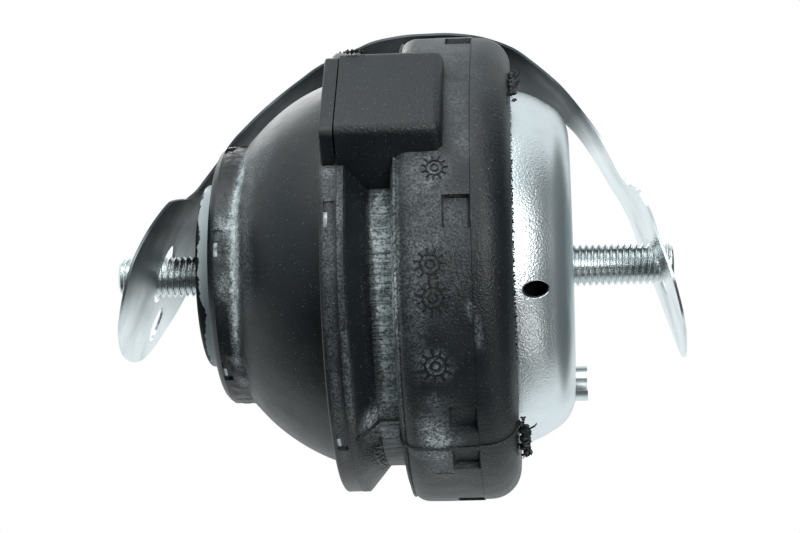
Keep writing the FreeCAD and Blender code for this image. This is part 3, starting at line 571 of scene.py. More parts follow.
# rubbed and talc-dusted places on the ring: angle, height, half angle, half height, strength
RING_TALC = [
    (-74.0, 32.0, 18.0, 5.0, 0.14), (-85.0, 29.0, 16.0, 7.0, 0.12), (-93.0, 34.5, 12.0, 3.2, 0.14),
    (-54.0, 25.0, 10.0, 2.6, 0.14), (-61.0, 23.2, 4.0, 1.6, 0.15), (-64.0, 33.0, 10.0, 4.6, 0.17),
    (-99.0, 23.0, 2.2, 0.7, 0.54), (-104.0, 21.3, 4.0, 0.7, 0.47), (-111.8, 30.7, 3.6, 3.4, 0.54),
    (-105.0, 35.0, 12.0, 2.6, 0.11), (-122.0, 31.5, 3.5, 1.6, 0.30), (-130.0, 32.0, 5.0, 3.4, 0.68),
    (-133.5, 30.0, 2.0, 4.6, 0.65), (-137.5, 32.5, 2.4, 4.6, 0.65), (-143.0, 31.0, 5.0, 3.2, 0.30),
    (-127.0, 31.0, 9.0, 7.0, 0.11), (-145.0, 30.0, 10.0, 8.0, 0.11),
    (-40.0, 26.0, 10.0, 8.0, 0.11), (-25.0, 30.0, 10.0, 8.0, 0.15), (-80.0, 38.6, 26.0, 1.0, 0.50),
    (-112.0, 38.6, 18.0, 0.9, 0.17), (-77.0, 25.3, 5.0, 3.4, 0.15), (-66.6, 29.8, 4.0, 4.0, 0.14),
]
# talc on the neck, partly real dust and partly painted light: laid on thicker than the dust, so the
# neck shaded by the stop block comes out lighter
NECK_TALC_AND_PAINTED_LIGHT = [
    (-72.0, 41.8, 7.0, 2.4, 0.8), (-82.0, 41.9, 8.0, 2.6, 1.2), (-92.0, 41.7, 9.0, 2.6, 1.2),
    (-101.0, 41.5, 8.0, 2.4, 1.1), (-110.0, 41.6, 9.0, 2.4, 0.9), (-120.0, 41.6, 8.0, 2.6, 0.75),
    (-129.0, 42.0, 7.0, 3.0, 0.9), (-132.5, 46.5, 4.0, 2.2, 0.9), (-140.0, 42.4, 6.0, 3.0, 0.9),
    (-150.0, 42.6, 8.0, 3.0, 0.7), (-139.0, 46.0, 4.0, 2.4, 0.5), (-118.0, 50.4, 18.0, 0.9, 0.5),
    (-74.0, 50.8, 16.0, 0.75, 0.6), (-96.0, 50.8, 14.0, 0.75, 0.3), (-76.0, 43.4, 6.0, 1.6, 0.8),
]
SPRING_TALC = [
    (-50.0, 77.0, 12.0, 1.2, 0.75), (-62.0, 77.8, 12.0, 1.3, 0.85), (-76.0, 77.4, 12.0, 1.5, 0.9),
    (-88.0, 77.4, 12.0, 1.5, 0.9), (-100.0, 77.6, 10.0, 1.4, 0.8), (-110.0, 77.8, 8.0, 1.2, 0.75),
    (-36.0, 76.4, 12.0, 1.2, 0.75), (-120.0, 78.2, 8.0, 1.0, 0.6), (-130.0, 78.6, 4.0, 1.1, 0.75),
    (-143.0, 78.0, 4.5, 1.4, 0.9), (-152.0, 76.4, 4.0, 1.2, 0.6), (-60.0, 74.6, 18.0, 2.2, 0.3),
    (-68.0, 80.0, 5.0, 1.6, 0.55), (-95.0, 80.2, 6.0, 1.4, 0.45), (-90.0, 74.2, 20.0, 1.8, 0.2),
    (-80.0, 80.6, 26.0, 2.2, 0.22), (-40.0, 72.0, 14.0, 4.0, 0.25),
    (-64.5, 53.6, 3.5, 1.7, 0.5), (-70.0, 53.2, 3.5, 1.7, 0.3), (-100.0, 53.4, 26.0, 1.5, 0.17),
    (-82.0, 53.4, 9.0, 1.6, 0.2), (-130.0, 53.2, 16.0, 1.4, 0.2),
]


def ring_outline():
    """Half section of the stop buffer's ring, round its outside and back up its bore."""
    lip = [(54.55, 38.35), (54.95, 38.95), (54.5, 39.05), (54.15, 38.95)]
    outline = straight((42.9, 13.4), (48.25, 13.4), 1.8)
    outline += arc((48.25, 20.9), 7.5, -90.0, 0.0, 12)
    outline += [(55.75, 21.5), (55.75, 22.12)]
    outline += [(RING_RADIUS, h) for h in with_edges(
        [22.2 + i * 0.8 for i in range(17)],
        (POCKET_LOW + POCKET_WALL / 2, POCKET_HIGH - POCKET_WALL / 2), POCKET_WALL) if h > 22.15]
    outline += arc((51.5, 35.3), 4.5, 0.0, 42.0, 6) + lip + arc((51.5, 35.3), 4.5, 58.0, 90.0, 4)
    outline += straight((50.5, 39.8), (47.3, 39.8), 1.2) + straight((47.3, 39.8), (47.3, 44.9), 0.6)
    outline += straight((47.3, 44.9), (53.4, 50.0), 1.0) + [(53.4, 50.0), (53.4, BUFFER_TOP)]
    return outline + [(46.1, BUFFER_TOP), (46.1, 15.3), (42.9, 15.3)]


def ring_relief(pocket_depth):
    """Recesses, plain raised field and slight waviness of the ring."""
    bore, neck, face = 46.5, 48.0, RING_RADIUS - 0.1

    def relief(angle, radius, height):
        if radius < bore:
            return 0.0
        depth = 0.0
        point = around(radius, angle, height) / MM
        wave = noise.noise(point * 0.08) * 0.16 + noise.noise(point * 0.3) * 0.05
        wall = POCKET_WALL - 0.01
        if radius > face and POCKET_LOW + wall < height < POCKET_HIGH - wall:
            for centre in POCKET_ANGLES:
                off = turn_apart(angle, centre)
                if abs(off) < POCKET_HALF - wall:
                    flat = (RING_RADIUS - pocket_depth / MM) / math.cos(math.radians(off))
                    depth = flat - radius
        if (radius > face and FIELD_HEIGHTS[0] < height < FIELD_HEIGHTS[1]
                and FIELD_ANGLES[0] < angle < FIELD_ANGLES[1]):
            depth -= FIELD_PROUD
        if radius < neck:
            wave += noise.noise(Vector((angle * 0.3, 0.0, height * 2.4))) * 0.1
        return depth + wave
    return relief


def spring_outline():
    """Half section of the main spring: flange, dome and collar, then the faces on the steel."""
    outline = [(52.0, FLANGE_FOOT)] + [(53.4, h) for h in with_edges(
        [FLANGE_FOOT, 52.4, 53.0, 54.7], FLANGE_SLOT[:2] + FLANGE_SLOT[5:], 0.06)]
    outline += arc((52.7, 54.7), 0.7, 15.0, 90.0, 4)
    outline += straight((51.6, 55.4), (46.6, 55.4), 1.3)
    outline += bulge((46.6, 55.4), (31.4, 77.3), 45.0, 30)
    outline += [(31.4, h) for h in with_edges(
        [78.0, 78.8, 79.6, 80.9, 81.9], COLLAR_SLOT[:2] + COLLAR_SLOT[5:], 0.06)]
    outline += bulge((31.25, 82.5), (28.2, 84.2), 3.4, 5)
    outline += [(25.5, 84.2), (22.0, 84.2), (16.2, 84.2), (16.2, 82.45), (30.2, 82.45),
                (30.2, 79.1), (19.2, 79.1), (19.2, 76.4), (12.7, 57.6), (21.0, 57.6),
                (30.0, 52.8), (39.5, 44.0), (41.0, 34.2), (44.02, 34.2), (44.02, FLANGE_FOOT)]
    return outline


def spring_relief(angle, radius, height):
    """Slots that bare the steel, and the moulded rubber's slight unevenness."""
    foot, seat, slot_reach, rough_band = 51.0, 28.5, 2.0, (75.4, 81.0)
    if height < foot or radius < seat:
        return 0.0
    for slot in (COLLAR_SLOT, FLANGE_SLOT):
        low, high, half, bottom, film, bare = slot
        for i, centre in enumerate(SLOT_ANGLES):
            off = turn_apart(angle, centre)
            if low < height < high and abs(off) < half and abs(radius - bottom) < slot_reach:
                # the flange has no second slot, next to the stop block
                if slot is COLLAR_SLOT or i != 1:
                    return (bottom if height > bare and off < half * 0.1 else film) - radius
    point = around(radius, angle, height) / MM
    rough = 0.0
    if rough_band[0] < height < rough_band[1]:
        rough = noise.noise(point * 1.1) * 0.25 + noise.noise(point * 0.35) * 0.3
    return noise.noise(point * 0.07) * 0.2 + rough


def stepped_angles(step, edges, gap):
    """Angles round the axis, a step apart, with a close pair at each edge."""
    values = [-180.0 + step * i for i in range(int(round(360.0 / step)))]
    return with_edges(values, edges, gap)


# --- pieces ---------------------------------------------------------------------------------------
class MOUNT_OT_studs(bpy.types.Operator):
    """Rolled M10 threads in place of the two plain studs"""

    bl_idname = "mount.studs"
    bl_label = "Threaded studs"

    def thread(self, name, node, root, start, tip, head_top):
        """Stud from its root inside the mount to its tip; the thread begins at start."""
        sizes = bpy.context.scene.mount_sizes
        pitch, depth = sizes.thread_pitch / MM, sizes.thread_depth / MM
        shank, crest, chamfer, around_count, rows_per_pitch = 5.5, 5.0, 1.1, 56, 12
        flat, flank = 0.12, 0.74  # shares of the tooth's half width
        direction = 1.0 if tip > start else -1.0
        length = abs(tip - start)
        count = int(length / pitch * rows_per_pitch)
        bm = bmesh.new()
        root_layer = bm.verts.layers.float.new("root")
        rows = []
        for height in (root, start - direction * 0.02):
            rows.append([bm.verts.new(around(shank, j * 360.0 / around_count, height))
                         for j in range(around_count)])
        for i in range(count + 1):
            along = length * i / count
            limit = crest - max(0.0, along - (length - chamfer)) * 0.95
            row = []
            for j in range(around_count):
                turn = j / around_count
                phase = (along / pitch + turn * direction) % 1.0
                tooth = 1.0 - abs(phase * 2.0 - 1.0)
                tooth = min(max((tooth - flat) / flank, 0.0), 1.0)
                radius = min(crest - depth * (1.0 - tooth), limit)
                vert = bm.verts.new(around(radius, turn * 360.0, start + direction * along))
                # marks the roots for their painted shade
                vert[root_layer] = 1.0 - tooth
                row.append(vert)
            rows.append(row)
        skin(bm, rows)
        bm.faces.new(rows[0])
        bm.faces.new(rows[-1])
        if head_top:
            self.head(bm, root, head_top)
        piece = add_piece(name, bm, "threaded_zinc", 50.0)
        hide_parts(node)

    def head(self, bm, low, high):
        """Round head inside the cup that the lower stud grows from."""
        ring_grid(bm, [i * 7.5 for i in range(48)],
                  [(0.4, low + 0.1), (13.6, low + 0.1), (14.0, low + 0.5), (14.0, high - 0.5),
                   (13.5, high), (0.4, high)], lambda *_: 0.0)

    def execute(self, context):
        low, high = node_span("upper_stud", 2)
        disc_top = node_span("top_disc", 2)[1]
        self.thread("stud_upper_thread", "upper_stud", 84.0, disc_top, high, None)
        low, high = node_span("lower_stud", 2)
        self.thread("stud_lower_thread", "lower_stud", 1.9, 0.0, low, high)
        return {"FINISHED"}


class MOUNT_OT_spring(bpy.types.Operator):
    """Main spring: rubber dome, collar and flange with the slots that show the steel"""

    bl_idname = "mount.spring"
    bl_label = "Main spring"

    def execute(self, context):
        edges = [turn_apart(a + side * half, 0.0) for a in SLOT_ANGLES
                 for half in (COLLAR_SLOT[2], FLANGE_SLOT[2]) for side in (-1, 1)]
        bm = bmesh.new()
        ring_grid(bm, stepped_angles(RING_ANGLE_STEP, edges, 0.1), spring_outline(), spring_relief,
                  [("talc", patch_mark(SPRING_TALC))])
        block_top = 54.9
        bottom, top = prism(bm, LUG_SET_BACK, 51.8, block_top)
        upright = [e for v in bottom[1:3] for e in v.link_edges if e.other_vert(v) in top]
        bmesh.ops.bevel(bm, geom=upright, offset=2.0 * MM, segments=6, affect="EDGES", profile=0.5)
        rim = [e for e in bm.edges if all(abs(v.co.z - block_top * MM) < 1e-7 for v in e.verts)]
        bmesh.ops.bevel(bm, geom=rim, offset=0.5 * MM, segments=3, affect="EDGES", profile=0.5)
        piece = add_piece("spring_moulding", bm, "moulded_rubber")
        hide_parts("main_spring")
        return {"FINISHED"}


class MOUNT_OT_buffer(bpy.types.Operator):
    """Stop buffer: ring with recesses, neck, flange lip and the stop block"""

    bl_idname = "mount.buffer"
    bl_label = "Stop buffer"

    def stop_block(self, bm):
        """Block with rounded edges, but for the one inside the ring."""
        bottom, _ = prism(bm, LUG, 28.0, BUFFER_TOP)
        outer = [e for v in bottom for e in v.link_edges
                 if not all(w in (bottom[0], bottom[3]) for w in e.verts)]
        bmesh.ops.bevel(bm, geom=list(set(outer)), offset=2.2 * MM, segments=6, affect="EDGES",
                        profile=0.5)

    def parting_ridges(self, bm, height):
        """Flash along the mould's parting line, over the ring and across the neck."""
        outline = [p for p in ring_outline() if p[0] > 47.0 and p[1] < 50.2]
        for angle in PARTING_ANGLES:
            path, normals = [], []
            for i, (radius, z) in enumerate(outline):
                before, after = outline[max(i - 1, 0)], outline[min(i + 1, len(outline) - 1)]
                slope = Vector((after[0] - before[0], after[1] - before[1]))
                if slope.length < 1e-6:
                    continue
                a = math.radians(angle)
                out = Vector((slope.y * math.cos(a), slope.y * math.sin(a), -slope.x)).normalized()
                path.append(around(radius, angle, z))
                normals.append(out)
            rib(bm, path, normals, 0.75 * MM, height)

    def execute(self, context):
        sizes = context.scene.mount_sizes
        walls = [turn_apart(a + side * (POCKET_HALF - POCKET_WALL / 2), 0.0)
                 for a in POCKET_ANGLES for side in (-1, 1)]
        talc = patch_mark(RING_TALC + NECK_TALC_AND_PAINTED_LIGHT)
        bm = bmesh.new()
        angles = with_edges(stepped_angles(RING_ANGLE_STEP, FIELD_ANGLES, 0.08), walls, POCKET_WALL)
        ring_grid(bm, angles, ring_outline(), ring_relief(sizes.pocket),
                  [("talc", talc), ("comb", lambda angle, radius, height: float(radius < 49.0))])
        self.stop_block(bm)
        self.parting_ridges(bm, sizes.ridge)
        piece = add_piece("buffer_moulding", bm, "blasted_rubber")
        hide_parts("outer_buffer")
        return {"FINISHED"}


# angle, height, circle radius, tick length, in degrees and millimetres
DIALS = [(-66.6, 29.8, 1.75, 1.1), (-88.6, 31.1, 2.1, 1.4), (-96.1, 30.7, 2.2, 1.6),
         (-111.8, 30.7, 2.3, 1.6)]


class MOUNT_OT_dials(bpy.types.Operator):
    """Raised mould dials on the ring, with plain ticks"""

    bl_idname = "mount.dials"
    bl_label = "Mould dials"

    def execute(self, context):
        sizes = context.scene.mount_sizes
        bm = bmesh.new()
        surface = RING_RADIUS + 0.02

        def on_ring(centre, height, right, up):
            angle = centre + math.degrees(right / surface)
            return around(surface, angle, height + up), around(1.0, angle, 0.0) / MM

        first_tick = 0.2
        for centre, height, radius, tick in DIALS:
            lines = [(0.4, True, [(loop, 2 * math.pi * i / steps) for i in range(steps)])
                     for loop, steps in ((radius, 32), (radius * 0.45, 18))]
            reaches = (radius + 0.15, radius + tick * 0.6, radius + tick)
            lines += [(0.45, False, [(reach, 2 * math.pi * i / sizes.dial_ticks + first_tick)
                                     for reach in reaches]) for i in range(sizes.dial_ticks)]
            for width, closed, line in lines:
                placed = [on_ring(centre, height, r * math.cos(t), r * math.sin(t))
                          for r, t in line]
                rib(bm, [p for p, _ in placed], [n for _, n in placed], width * MM, sizes.dial_rib,
                    closed)
        piece = add_piece("mould_dials", bm, "blasted_rubber")
        return {"FINISHED"}


# start angle, end angle, radius, height, largest lump, count, in degrees and millimetres
TORN = [(-153.0, -133.0, 49.4, 12.6, 1.25, 34), (-41.0, -22.0, 49.8, 12.9, 0.95, 26),
        (-130.0, -38.0, 46.6, 13.3, 0.3, 300), (36.0, 52.0, 49.4, 13.0, 0.9, 16)]
# crumbs left on the stop block's upper edge: x, y, height, size
NIBS = [(49.9, -34.4, 49.6, 0.42), (50.0, -34.2, 48.6, 0.5), (50.1, -34.2, 47.7, 0.45),
        (50.0, -34.0, 46.9, 0.3), (49.8, -34.3, 46.2, 0.36), (49.9, -33.9, 50.4, 0.3),
        (50.0, -33.6, 51.4, 0.25)]
# hairs: start angle, radius, height, then the steps to the end of each of three spans
HAIRS = [(-136.5, 49.5, 11.9, (0.6, -0.9, 1.0), (1.3, -1.2, 0.2), (0.2, -0.6, -0.8)),
         (-145.0, 49.3, 12.2, (-1.0, -1.1, 0.6), (-1.4, -0.5, 0.4), (-1.2, 0.3, 0.1)),
         (-30.0, 49.9, 12.6, (1.2, -1.0, 0.4), (1.0, -0.6, 0.8), (0.4, 0.5, 0.6))]


class MOUNT_OT_flash(bpy.types.Operator):
    """Torn rubber flash where the ring's mould closed on the cup"""

    bl_idname = "mount.flash"
    bl_label = "Torn flash"

    def lump(self, bm, centre, size, draw):
        """Ragged crumb of rubber."""
        detail = 2 if size > 0.3 else 1
        made = bmesh.ops.create_icosphere(bm, subdivisions=detail, radius=1.0)["verts"]
        seed = Vector((draw.uniform(0, 50), draw.uniform(0, 50), draw.uniform(0, 50)))
        stretch = Vector((draw.uniform(0.6, 1.3), draw.uniform(0.6, 1.3), draw.uniform(0.7, 1.5)))
        for vert in made:
            ragged = 1.0 + 0.75 * noise.noise(vert.co * 1.9 + seed)
            vert.co = centre + vert.co * stretch * size * MM * ragged

    def execute(self, context):
        draw = random.Random(7)
        bm = bmesh.new()
        for start, end, radius, height, largest, count in TORN:
            for i in range(count):
                share = (i + draw.uniform(0.0, 1.0)) / count
                size = largest * draw.uniform(0.25, 1.0) * (0.35 + 0.65 * math.sin(math.pi * share))
                spot = around(radius + draw.uniform(-0.5, 0.5) * largest,
                              start + (end - start) * share,
                              height - draw.uniform(-0.2, 0.8) * largest)
                self.lump(bm, spot, size, draw)
        for x, y, height, size in NIBS:
            self.lump(bm, Vector((x, y, height)) * MM, size, draw)
        for angle, radius, height, *spans in HAIRS:
            path, parts = [], 5
            for across, down, out in spans:
                for share in (part / parts for part in range(parts)):
                    path.append(around(radius + out * share, angle + across * share,
                                       height + down * share))
                angle, radius, height = angle + across, radius + out, height + down
            out = around(1.0, angle, 0.0) / MM
            rib(bm, path, [out] * len(path), 0.3 * MM, 0.22 * MM)
        piece = add_piece("torn_flash", bm, "blasted_rubber", 60.0)
        return {"FINISHED"}


# stations of the shield: near edge (x, z, y), far edge (x, z, y), in millimetres
SHIELD = [
    (-20.6, 107.4, -3.0, -20.6, 107.4, 3.0), (-19.6, 107.3, -11.0, -19.6, 107.3, 11.0),
    (-17.0, 106.7, -20.0, -17.0, 106.7, 20.0), (-12.8, 105.3, -28.5, -12.8, 105.3, 28.5),
    (-8.5, 103.5, -34.5, -8.5, 103.5, 34.5), (-3.2, 101.4, -39.0, -3.2, 101.4, 39.0),
    (2.6, 99.5, -40.0, 2.6, 99.5, 40.0), (6.6, 98.1, -38.0, 6.6, 98.1, 39.0),
    (11.8, 95.8, -34.0, 11.8, 95.8, 37.0), (16.7, 93.2, -28.0, 16.7, 93.2, 34.0),
    (17.9, 92.6, -22.5, 17.5, 92.6, 33.0), (18.6, 92.2, -12.0, 17.9, 92.3, 32.4),
    (19.0, 92.0, -7.5, 18.2, 92.0, 32.0), (20.8, 90.4, -4.5, 19.6, 90.4, 31.0),
    (24.0, 88.3, -2.0, 21.6, 88.3, 30.5), (28.5, 85.1, 0.0, 24.4, 85.1, 31.0),
    (32.8, 82.0, 0.5, 27.0, 82.0, 32.5), (35.5, 79.5, 1.0, 29.0, 79.5, 34.0),
    (40.2, 74.9, 3.0, 32.6, 74.9, 37.5), (44.4, 70.1, 5.0, 35.8, 70.1, 40.5),
    (48.3, 65.4, 8.0, 38.8, 65.4, 42.5), (51.8, 60.6, 10.0, 41.6, 60.6, 44.0),
    (55.4, 51.7, 10.0, 44.4, 51.7, 45.0), (57.2, 47.1, 10.0, 45.6, 47.1, 45.0),
    (58.3, 40.2, 10.0, 46.5, 40.2, 45.0), (58.5, 34.7, 10.0, 46.8, 34.7, 45.0),
    (58.4, 28.0, 10.0, 46.8, 28.0, 45.0), (57.2, 20.5, 10.0, 46.0, 20.5, 45.0),
    (54.4, 13.2, 10.0, 44.4, 13.2, 45.0), (50.6, 8.3, 8.0, 42.4, 8.3, 44.5),
    (45.8, 3.3, 4.0, 39.9, 2.6, 43.5), (42.4, 0.3, 2.0, 37.4, -0.4, 42.0),
    (36.8, -3.8, 0.0, 33.6, -3.6, 39.0), (29.6, -8.4, -3.0, 26.6, -7.8, 34.0),
    (21.2, -12.4, -7.0, 19.6, -11.4, 29.5), (18.8, -14.2, -8.5, 17.6, -12.6, 28.5),
    (18.3, -14.5, -12.0, 17.2, -12.9, 28.5), (17.7, -14.9, -20.0, 16.4, -13.3, 28.5),
    (16.4, -15.8, -24.5, 15.2, -14.0, 28.6),
    (11.6, -17.8, -27.0, 10.8, -15.9, 28.8), (5.7, -19.6, -28.0, 5.2, -17.8, 28.6),
    (-1.5, -22.0, -28.0, -1.5, -20.3, 28.0), (-5.5, -23.1, -27.6, -5.5, -21.5, 27.4),
    (-10.8, -24.4, -25.4, -10.8, -23.2, 25.0), (-15.6, -25.4, -20.0, -15.6, -24.6, 19.6),
    (-19.6, -26.0, -12.5, -19.6, -25.6, 12.0), (-21.8, -26.3, -6.5, -21.8, -26.1, 6.2),
    (-22.7, -26.4, -2.0, -22.7, -26.4, 2.0)]
# hole centres and radii: x, y, z of the cutter's middle, radius
SHIELD_HOLES = [(0.9, 0.0, 100.0, 7.0), (-1.0, 0.0, -22.0, 7.1), (-11.7, 11.0, 105.0, 4.1)]


class MOUNT_OT_shield(bpy.types.Operator):
    """Bowed heat shield of thin sheet with its paddles and holes"""

    bl_idname = "mount.shield"
    bl_label = "Heat shield"

    def smooth_stations(self, parts):
        """Stations on smooth curves through the given ones."""
        rows = []
        last = len(SHIELD) - 1
        for i in range(last):
            p = [SHIELD[max(i - 1, 0)], SHIELD[i], SHIELD[i + 1], SHIELD[min(i + 2, last)]]
            for step in range(parts):
                t = step / parts
                rows.append([
                    0.5 * (2 * b + (c - a) * t + (2 * a - 5 * b + 4 * c - d) * t ** 2
                           + (3 * b - a - 3 * c + d) * t ** 3)
                    for a, b, c, d in zip(*p)])
        return rows + [list(SHIELD[-1])]

    def execute(self, context):
        sizes = context.scene.mount_sizes
        across = 26
        bm = bmesh.new()
        rows = []
        for x1, z1, y1, x2, z2, y2 in self.smooth_stations(4):
            rows.append([bm.verts.new(Vector((x1 + (x2 - x1) * s, y1 + (y2 - y1) * s,
                                              z1 + (z2 - z1) * s)) * MM)
                         for s in (j / across for j in range(across + 1))])
        skin(bm, rows, closed=False)
        piece = add_piece("shield_sheet", bm, "sheet_zinc", 40.0)
        thick = piece.modifiers.new("thickness", "SOLIDIFY")
        thick.thickness, thick.offset = sizes.sheet, 0.0
        drilled(piece, [oval_cutter(Vector((x, y, z)) * MM, radius, radius, 30)
                        for x, y, z, radius in SHIELD_HOLES])
        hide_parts("heat_shield")
        return {"FINISHED"}


# vent in the cup: angle, height, half length, half width, in degrees and millimetres
VENT = (-96.8, 8.7, 3.0, 2.0)
# section of its lip: how far beyond the opening, how far over the wall
VENT_LIP = ((0.25, -0.15), (0.2, 0.04), (0.05, 0.05), (-0.08, -0.1), (-0.2, -0.6), (-0.26, -1.7))
# the cup's wall, as (radius, height): where its knee ends and where it meets the ring
CUP_KNEE, CUP_TOP = (39.6, 5.4), (42.9, 13.4)
CUP_FLOOR_EDGE = (31.0, 0.0)
# x and radius of the dowel's seat
DOWEL_HOLE = (-28.6, 4.5)


def cup_wall():
    """Outside of the cup from its knee to the ring, slightly barrel-shaped."""
    return bulge(CUP_KNEE, CUP_TOP, 21.0, 14)


class MOUNT_OT_cup(bpy.types.Operator):
    """Drawn cup with its barrel-shaped wall, vent and dowel hole"""

    bl_idname = "mount.cup"
    bl_label = "Cup"

    def execute(self, context):
        outline = straight((5.6, 0.0), CUP_FLOOR_EDGE, 3.0)
        outline += bulge(CUP_FLOOR_EDGE, CUP_KNEE, 9.55, 12)[:-1]
        outline += cup_wall()
        # the rim inside the ring, then back down the inside
        outline += [(42.9, 14.6), (42.9, 17.2), (44.1, 17.3), (44.1, 18.9), (41.1, 18.9)]
        outline += [(41.1, 14.0), (37.9, 6.1), (35.6, 3.4), (31.0, 1.8), (5.6, 1.8)]
        bm = bmesh.new()
        ring_grid(bm, [-180.0 + 2.0 * i for i in range(180)], outline, lambda *_: 0.0)
        piece = add_piece("cup_shell", bm, "pressed_zinc", 40.0)
        centre, middle, half_length, half_width = VENT
        out, along = around(1.0, centre, 0.0) / MM, Vector((0.0, 0.0, 1.0))
        turned = Matrix((along, out.cross(along), out)).transposed().to_4x4()
        vent = oval_cutter(around(41.0, centre, middle), half_length, half_width, 9, turned)
        x, radius = DOWEL_HOLE
        drilled(piece, [vent, oval_cutter(Vector((x * MM, 0.0, 0.0)), radius, radius, 8)])
        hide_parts("cup")
        return {"FINISHED"}


class MOUNT_OT_vent(bpy.types.Operator):
    """Drawn-in lip round the cup's vent"""

    bl_idname = "mount.vent"
    bl_label = "Vent lip"

    def wall_radius(self, height):
        """Radius of the cup's outside at a height."""
        wall = cup_wall()
        for (r1, z1), (r2, z2) in zip(wall, wall[1:]):
            if z1 <= height <= z2:
                return r1 + (r2 - r1) * (height - z1) / (z2 - z1)
        raise RuntimeError("the vent reaches past the cup's wall")

    def execute(self, context):
        centre, middle, half_length, half_width = VENT
        bm = bmesh.new()
        steps, rows = 48, []
        for grow, proud in VENT_LIP:
            row = []
            for i in range(steps):
                t = 2 * math.pi * i / steps
                height = middle + (half_length + grow) * math.cos(t)
                across = (half_width + grow) * math.sin(t)
                radius = self.wall_radius(height) + proud
                angle = centre + math.degrees(across / radius)
                row.append(bm.verts.new(around(radius, angle, height)))
            rows.append(row)
        skin(bm, rows)
        piece = add_piece("vent_lip", bm, "pressed_zinc", 60.0)
        thick = piece.modifiers.new("thickness", "SOLIDIFY")
        thick.thickness, thick.offset = 0.05 * MM, 0.0
        return {"FINISHED"}


CARRIED_OVER = {
    "top_disc": "film_rubber", "core": "cast_aluminium", "core_plate": "plain_steel",
    "snubber_plate": "plain_steel", "snubber_screw": "threaded_zinc", "spring_ring": "plain_steel",
    "housing": "plain_steel", "diaphragm": "moulded_rubber", "lower_track": "cast_aluminium",
    "upper_track": "cast_aluminium", "decoupler": "moulded_rubber", "track_seal": "moulded_rubber",
    "locating_dowel": "pressed_zinc",
}


class MOUNT_OT_metal_parts(bpy.types.Operator):
    """Finishes for the disc, the dowel and the parts inside"""

    bl_idname = "mount.metal_parts"
    bl_label = "Disc, dowel and inner parts"

    def execute(self, context):
        for node, material in CARRIED_OVER.items():
            dress(node, material)
        return {"FINISHED"}


# --- stage ----------------------------------------------------------------------------------------
CAMERA_PLACE = (0.0010, -0.4646, 0.00716)
CAMERA_RISE, CAMERA_ROLL, CAMERA_LENS = 4.25, 1.65, 85.9
# floor: distance below the part, half size, and how much of it the camera sees as plain white
FLOOR_DROP, FLOOR_HALF, FLOOR_WHITE = 0.6, 0.6, 0.9
# name, place, target, width, height, power, in metres and watts
LAMPS = [
    ("overhead", (0.62, -0.30, 0.20), (0.0, 0.0, 0.05), 0.50, 0.66, 2.2),
    ("front_panel", (0.20, -0.80, -0.34), (0.0, 0.0, 0.0), 0.60, 0.36, 3.8),
    ("top_rim", (0.45, 0.70, 0.35), (0.0, 0.0, 0.06), 0.35, 0.35, 1.4),
    ("low_fill", (-0.50, -0.48, -0.58), (0.0, 0.0, 0.0), 0.40, 0.40, 0.8),
]
# brightness of the room by direction along X, from the part's low side to its high side
SURROUND = [(0.0, 0.10), (0.30, 0.06), (0.44, 0.08), (0.50, 0.50), (0.62, 0.78), (1.0, 0.9)]
SURROUND_TINT = "#E0EEF2"
BACKDROP_TINT = "#F2FAFC"
# where the room fades, by direction: along Z from dim to full, along Y from room to backdrop
BELOW_FADE = (-0.66, -0.40, 0.10, 1.0)
BEHIND_FADE = (-0.22, 0.12)


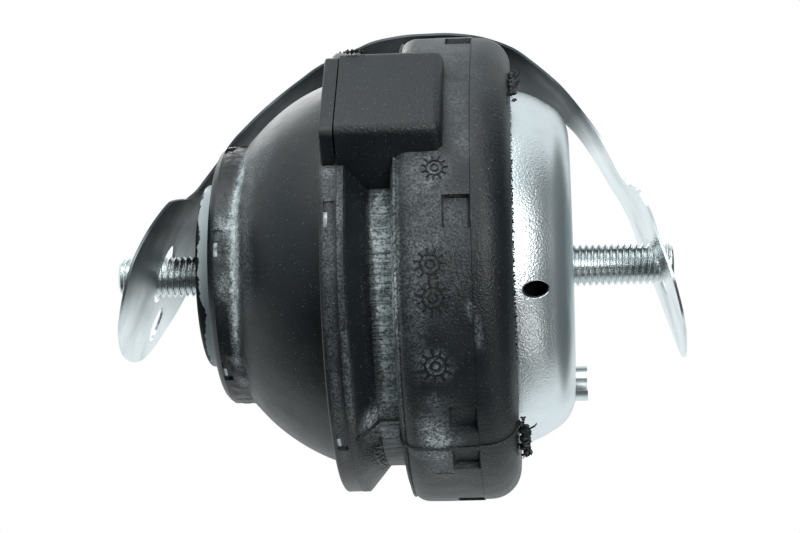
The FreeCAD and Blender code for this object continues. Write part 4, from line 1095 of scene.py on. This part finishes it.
class MOUNT_OT_stage(bpy.types.Operator):
    """Pale floor, soft lamps, white surround and the camera"""

    bl_idname = "mount.stage"
    bl_label = "Stage"

    def camera(self):
        """Camera in front of the part, with +X upwards and -Z to the right."""
        rise, roll = math.radians(CAMERA_RISE), math.radians(CAMERA_ROLL)
        forward = Vector((0.0, math.cos(rise), math.sin(rise)))
        right = Vector((0.0, math.sin(rise), -math.cos(rise)))
        up = Vector((1.0, 0.0, 0.0))
        turned_right = right * math.cos(roll) - up * math.sin(roll)
        turned_up = right * math.sin(roll) + up * math.cos(roll)
        data = bpy.data.cameras.new("camera")
        data.lens, data.sensor_width, data.sensor_fit = CAMERA_LENS, 36.0, "HORIZONTAL"
        data.clip_start, data.clip_end = 0.01, 20.0
        camera = bpy.data.objects.new("camera", data)
        camera.matrix_world = Matrix.Translation(CAMERA_PLACE) @ Matrix(
            (turned_right, turned_up, -forward)).transposed().to_4x4()
        bpy.context.scene.collection.objects.link(camera)
        bpy.context.scene.camera = camera

    def lamps(self):
        """Soft rectangular lamps, each aimed at its target."""
        for name, place, target, width, height, power in LAMPS:
            data = bpy.data.lights.new(name, "AREA")
            data.shape, data.size, data.size_y, data.energy = "RECTANGLE", width, height, power
            lamp = bpy.data.objects.new(name, data)
            lamp.location = place
            aim = Vector(target) - Vector(place)
            lamp.rotation_euler = aim.to_track_quat("-Z", "Y").to_euler()
            bpy.context.scene.collection.objects.link(lamp)

    def world(self):
        """White to the camera; reflections see white behind the part and a dimmer room in front."""
        world = bpy.data.worlds.new("white_surround")
        bpy.context.scene.world = world
        world.use_nodes = True
        add = partial(add_node, world)
        by_camera = add("LightPath", output="Is Camera Ray")
        seen = add("Math", (by_camera, by_camera.node.outputs["Is Transmission Ray"]),
                   operation="MAXIMUM")
        x, y, z = add("SeparateXYZ", (add("TexCoord", output="Generated"),)).node.outputs
        shade = add("ValToRGB", (add("MapRange", (x, -1.0)),))
        stops = shade.node.color_ramp.elements
        tint = linear(SURROUND_TINT)
        for i, (position, value) in enumerate(SURROUND):
            stop = stops[i] if i < 2 else stops.new(position)
            stop.position, stop.color = position, opaque([value * c for c in tint])
        room = add("Mix", {0: add("MapRange", (z, *BELOW_FADE)), 6: BLACK, 7: shade}, 2,
                   data_type="RGBA")
        around_part = add("Mix", {0: add("MapRange", (y, *BEHIND_FADE)), 6: room,
                                  7: linear(BACKDROP_TINT)}, 2, data_type="RGBA")
        shown = add("Mix", {0: seen, 6: around_part, 7: WHITE}, 2, data_type="RGBA")
        background = world.node_tree.nodes["Background"]
        world.node_tree.links.new(shown, background.inputs["Color"])
        background.inputs["Strength"].default_value = 1.0

    def floor(self, finishes):
        """Matt grey floor that the camera sees as near white, with the part's shadow."""
        bm = bmesh.new()
        bmesh.ops.create_grid(bm, x_segments=2, y_segments=2, size=FLOOR_HALF,
                              matrix=Matrix.Translation((0.0, 0.0, CAD_BOX[0].z - FLOOR_DROP)))
        floor = bpy.data.objects.new("floor", mesh_from(bm, "floor"))
        bpy.context.scene.collection.objects.link(floor)
        material, shader, add, _ = new_material("painted_floor_matt")
        shader.inputs["Base Color"].default_value = opaque(finishes.floor)
        shader.inputs["Roughness"].default_value = 0.8
        white = add("Emission", {"Strength": 1.0})
        share = add("Math", (add("LightPath", output="Is Camera Ray"), FLOOR_WHITE),
                    operation="MULTIPLY")
        shown = add("MixShader", (share, shader.outputs["BSDF"], white))
        material.node_tree.links.new(
            shown, material.node_tree.nodes["Material Output"].inputs["Surface"])
        floor.data.materials.append(material)

    def execute(self, context):
        context.scene.view_settings.view_transform = "Standard"
        self.camera()
        self.lamps()
        self.world()
        self.floor(context.scene.mount_finishes)
        return {"FINISHED"}


STEPS = (MOUNT_OT_studs, MOUNT_OT_spring, MOUNT_OT_buffer, MOUNT_OT_dials, MOUNT_OT_flash,
         MOUNT_OT_shield, MOUNT_OT_metal_parts, MOUNT_OT_cup, MOUNT_OT_vent, MOUNT_OT_stage)


class MOUNT_PT_panel(bpy.types.Panel):
    """Lists the steps that dress the mount"""

    bl_idname = "MOUNT_PT_panel"
    bl_label = "Engine Mount"
    bl_space_type = "VIEW_3D"
    bl_region_type = "UI"
    bl_category = "Engine Mount"

    def draw(self, context):
        for group in (context.scene.mount_sizes, context.scene.mount_finishes):
            for name in group.__annotations__:
                self.layout.prop(group, name)
        for step in STEPS:
            self.layout.operator(step.bl_idname)


CLASSES = (MountSizes, MountFinishes) + STEPS + (MOUNT_PT_panel,)


def register():
    for cls in CLASSES:
        bpy.utils.register_class(cls)
    bpy.types.Scene.mount_sizes = PointerProperty(type=MountSizes)
    bpy.types.Scene.mount_finishes = PointerProperty(type=MountFinishes)


def unregister():
    del bpy.types.Scene.mount_finishes
    del bpy.types.Scene.mount_sizes
    for cls in reversed(CLASSES):
        bpy.utils.unregister_class(cls)


def main():
    """Runs every step in order."""
    register()
    for step in STEPS:
        group, name = step.bl_idname.split(".")
        getattr(getattr(bpy.ops, group), name)()


if __name__ == "__main__":
    main()
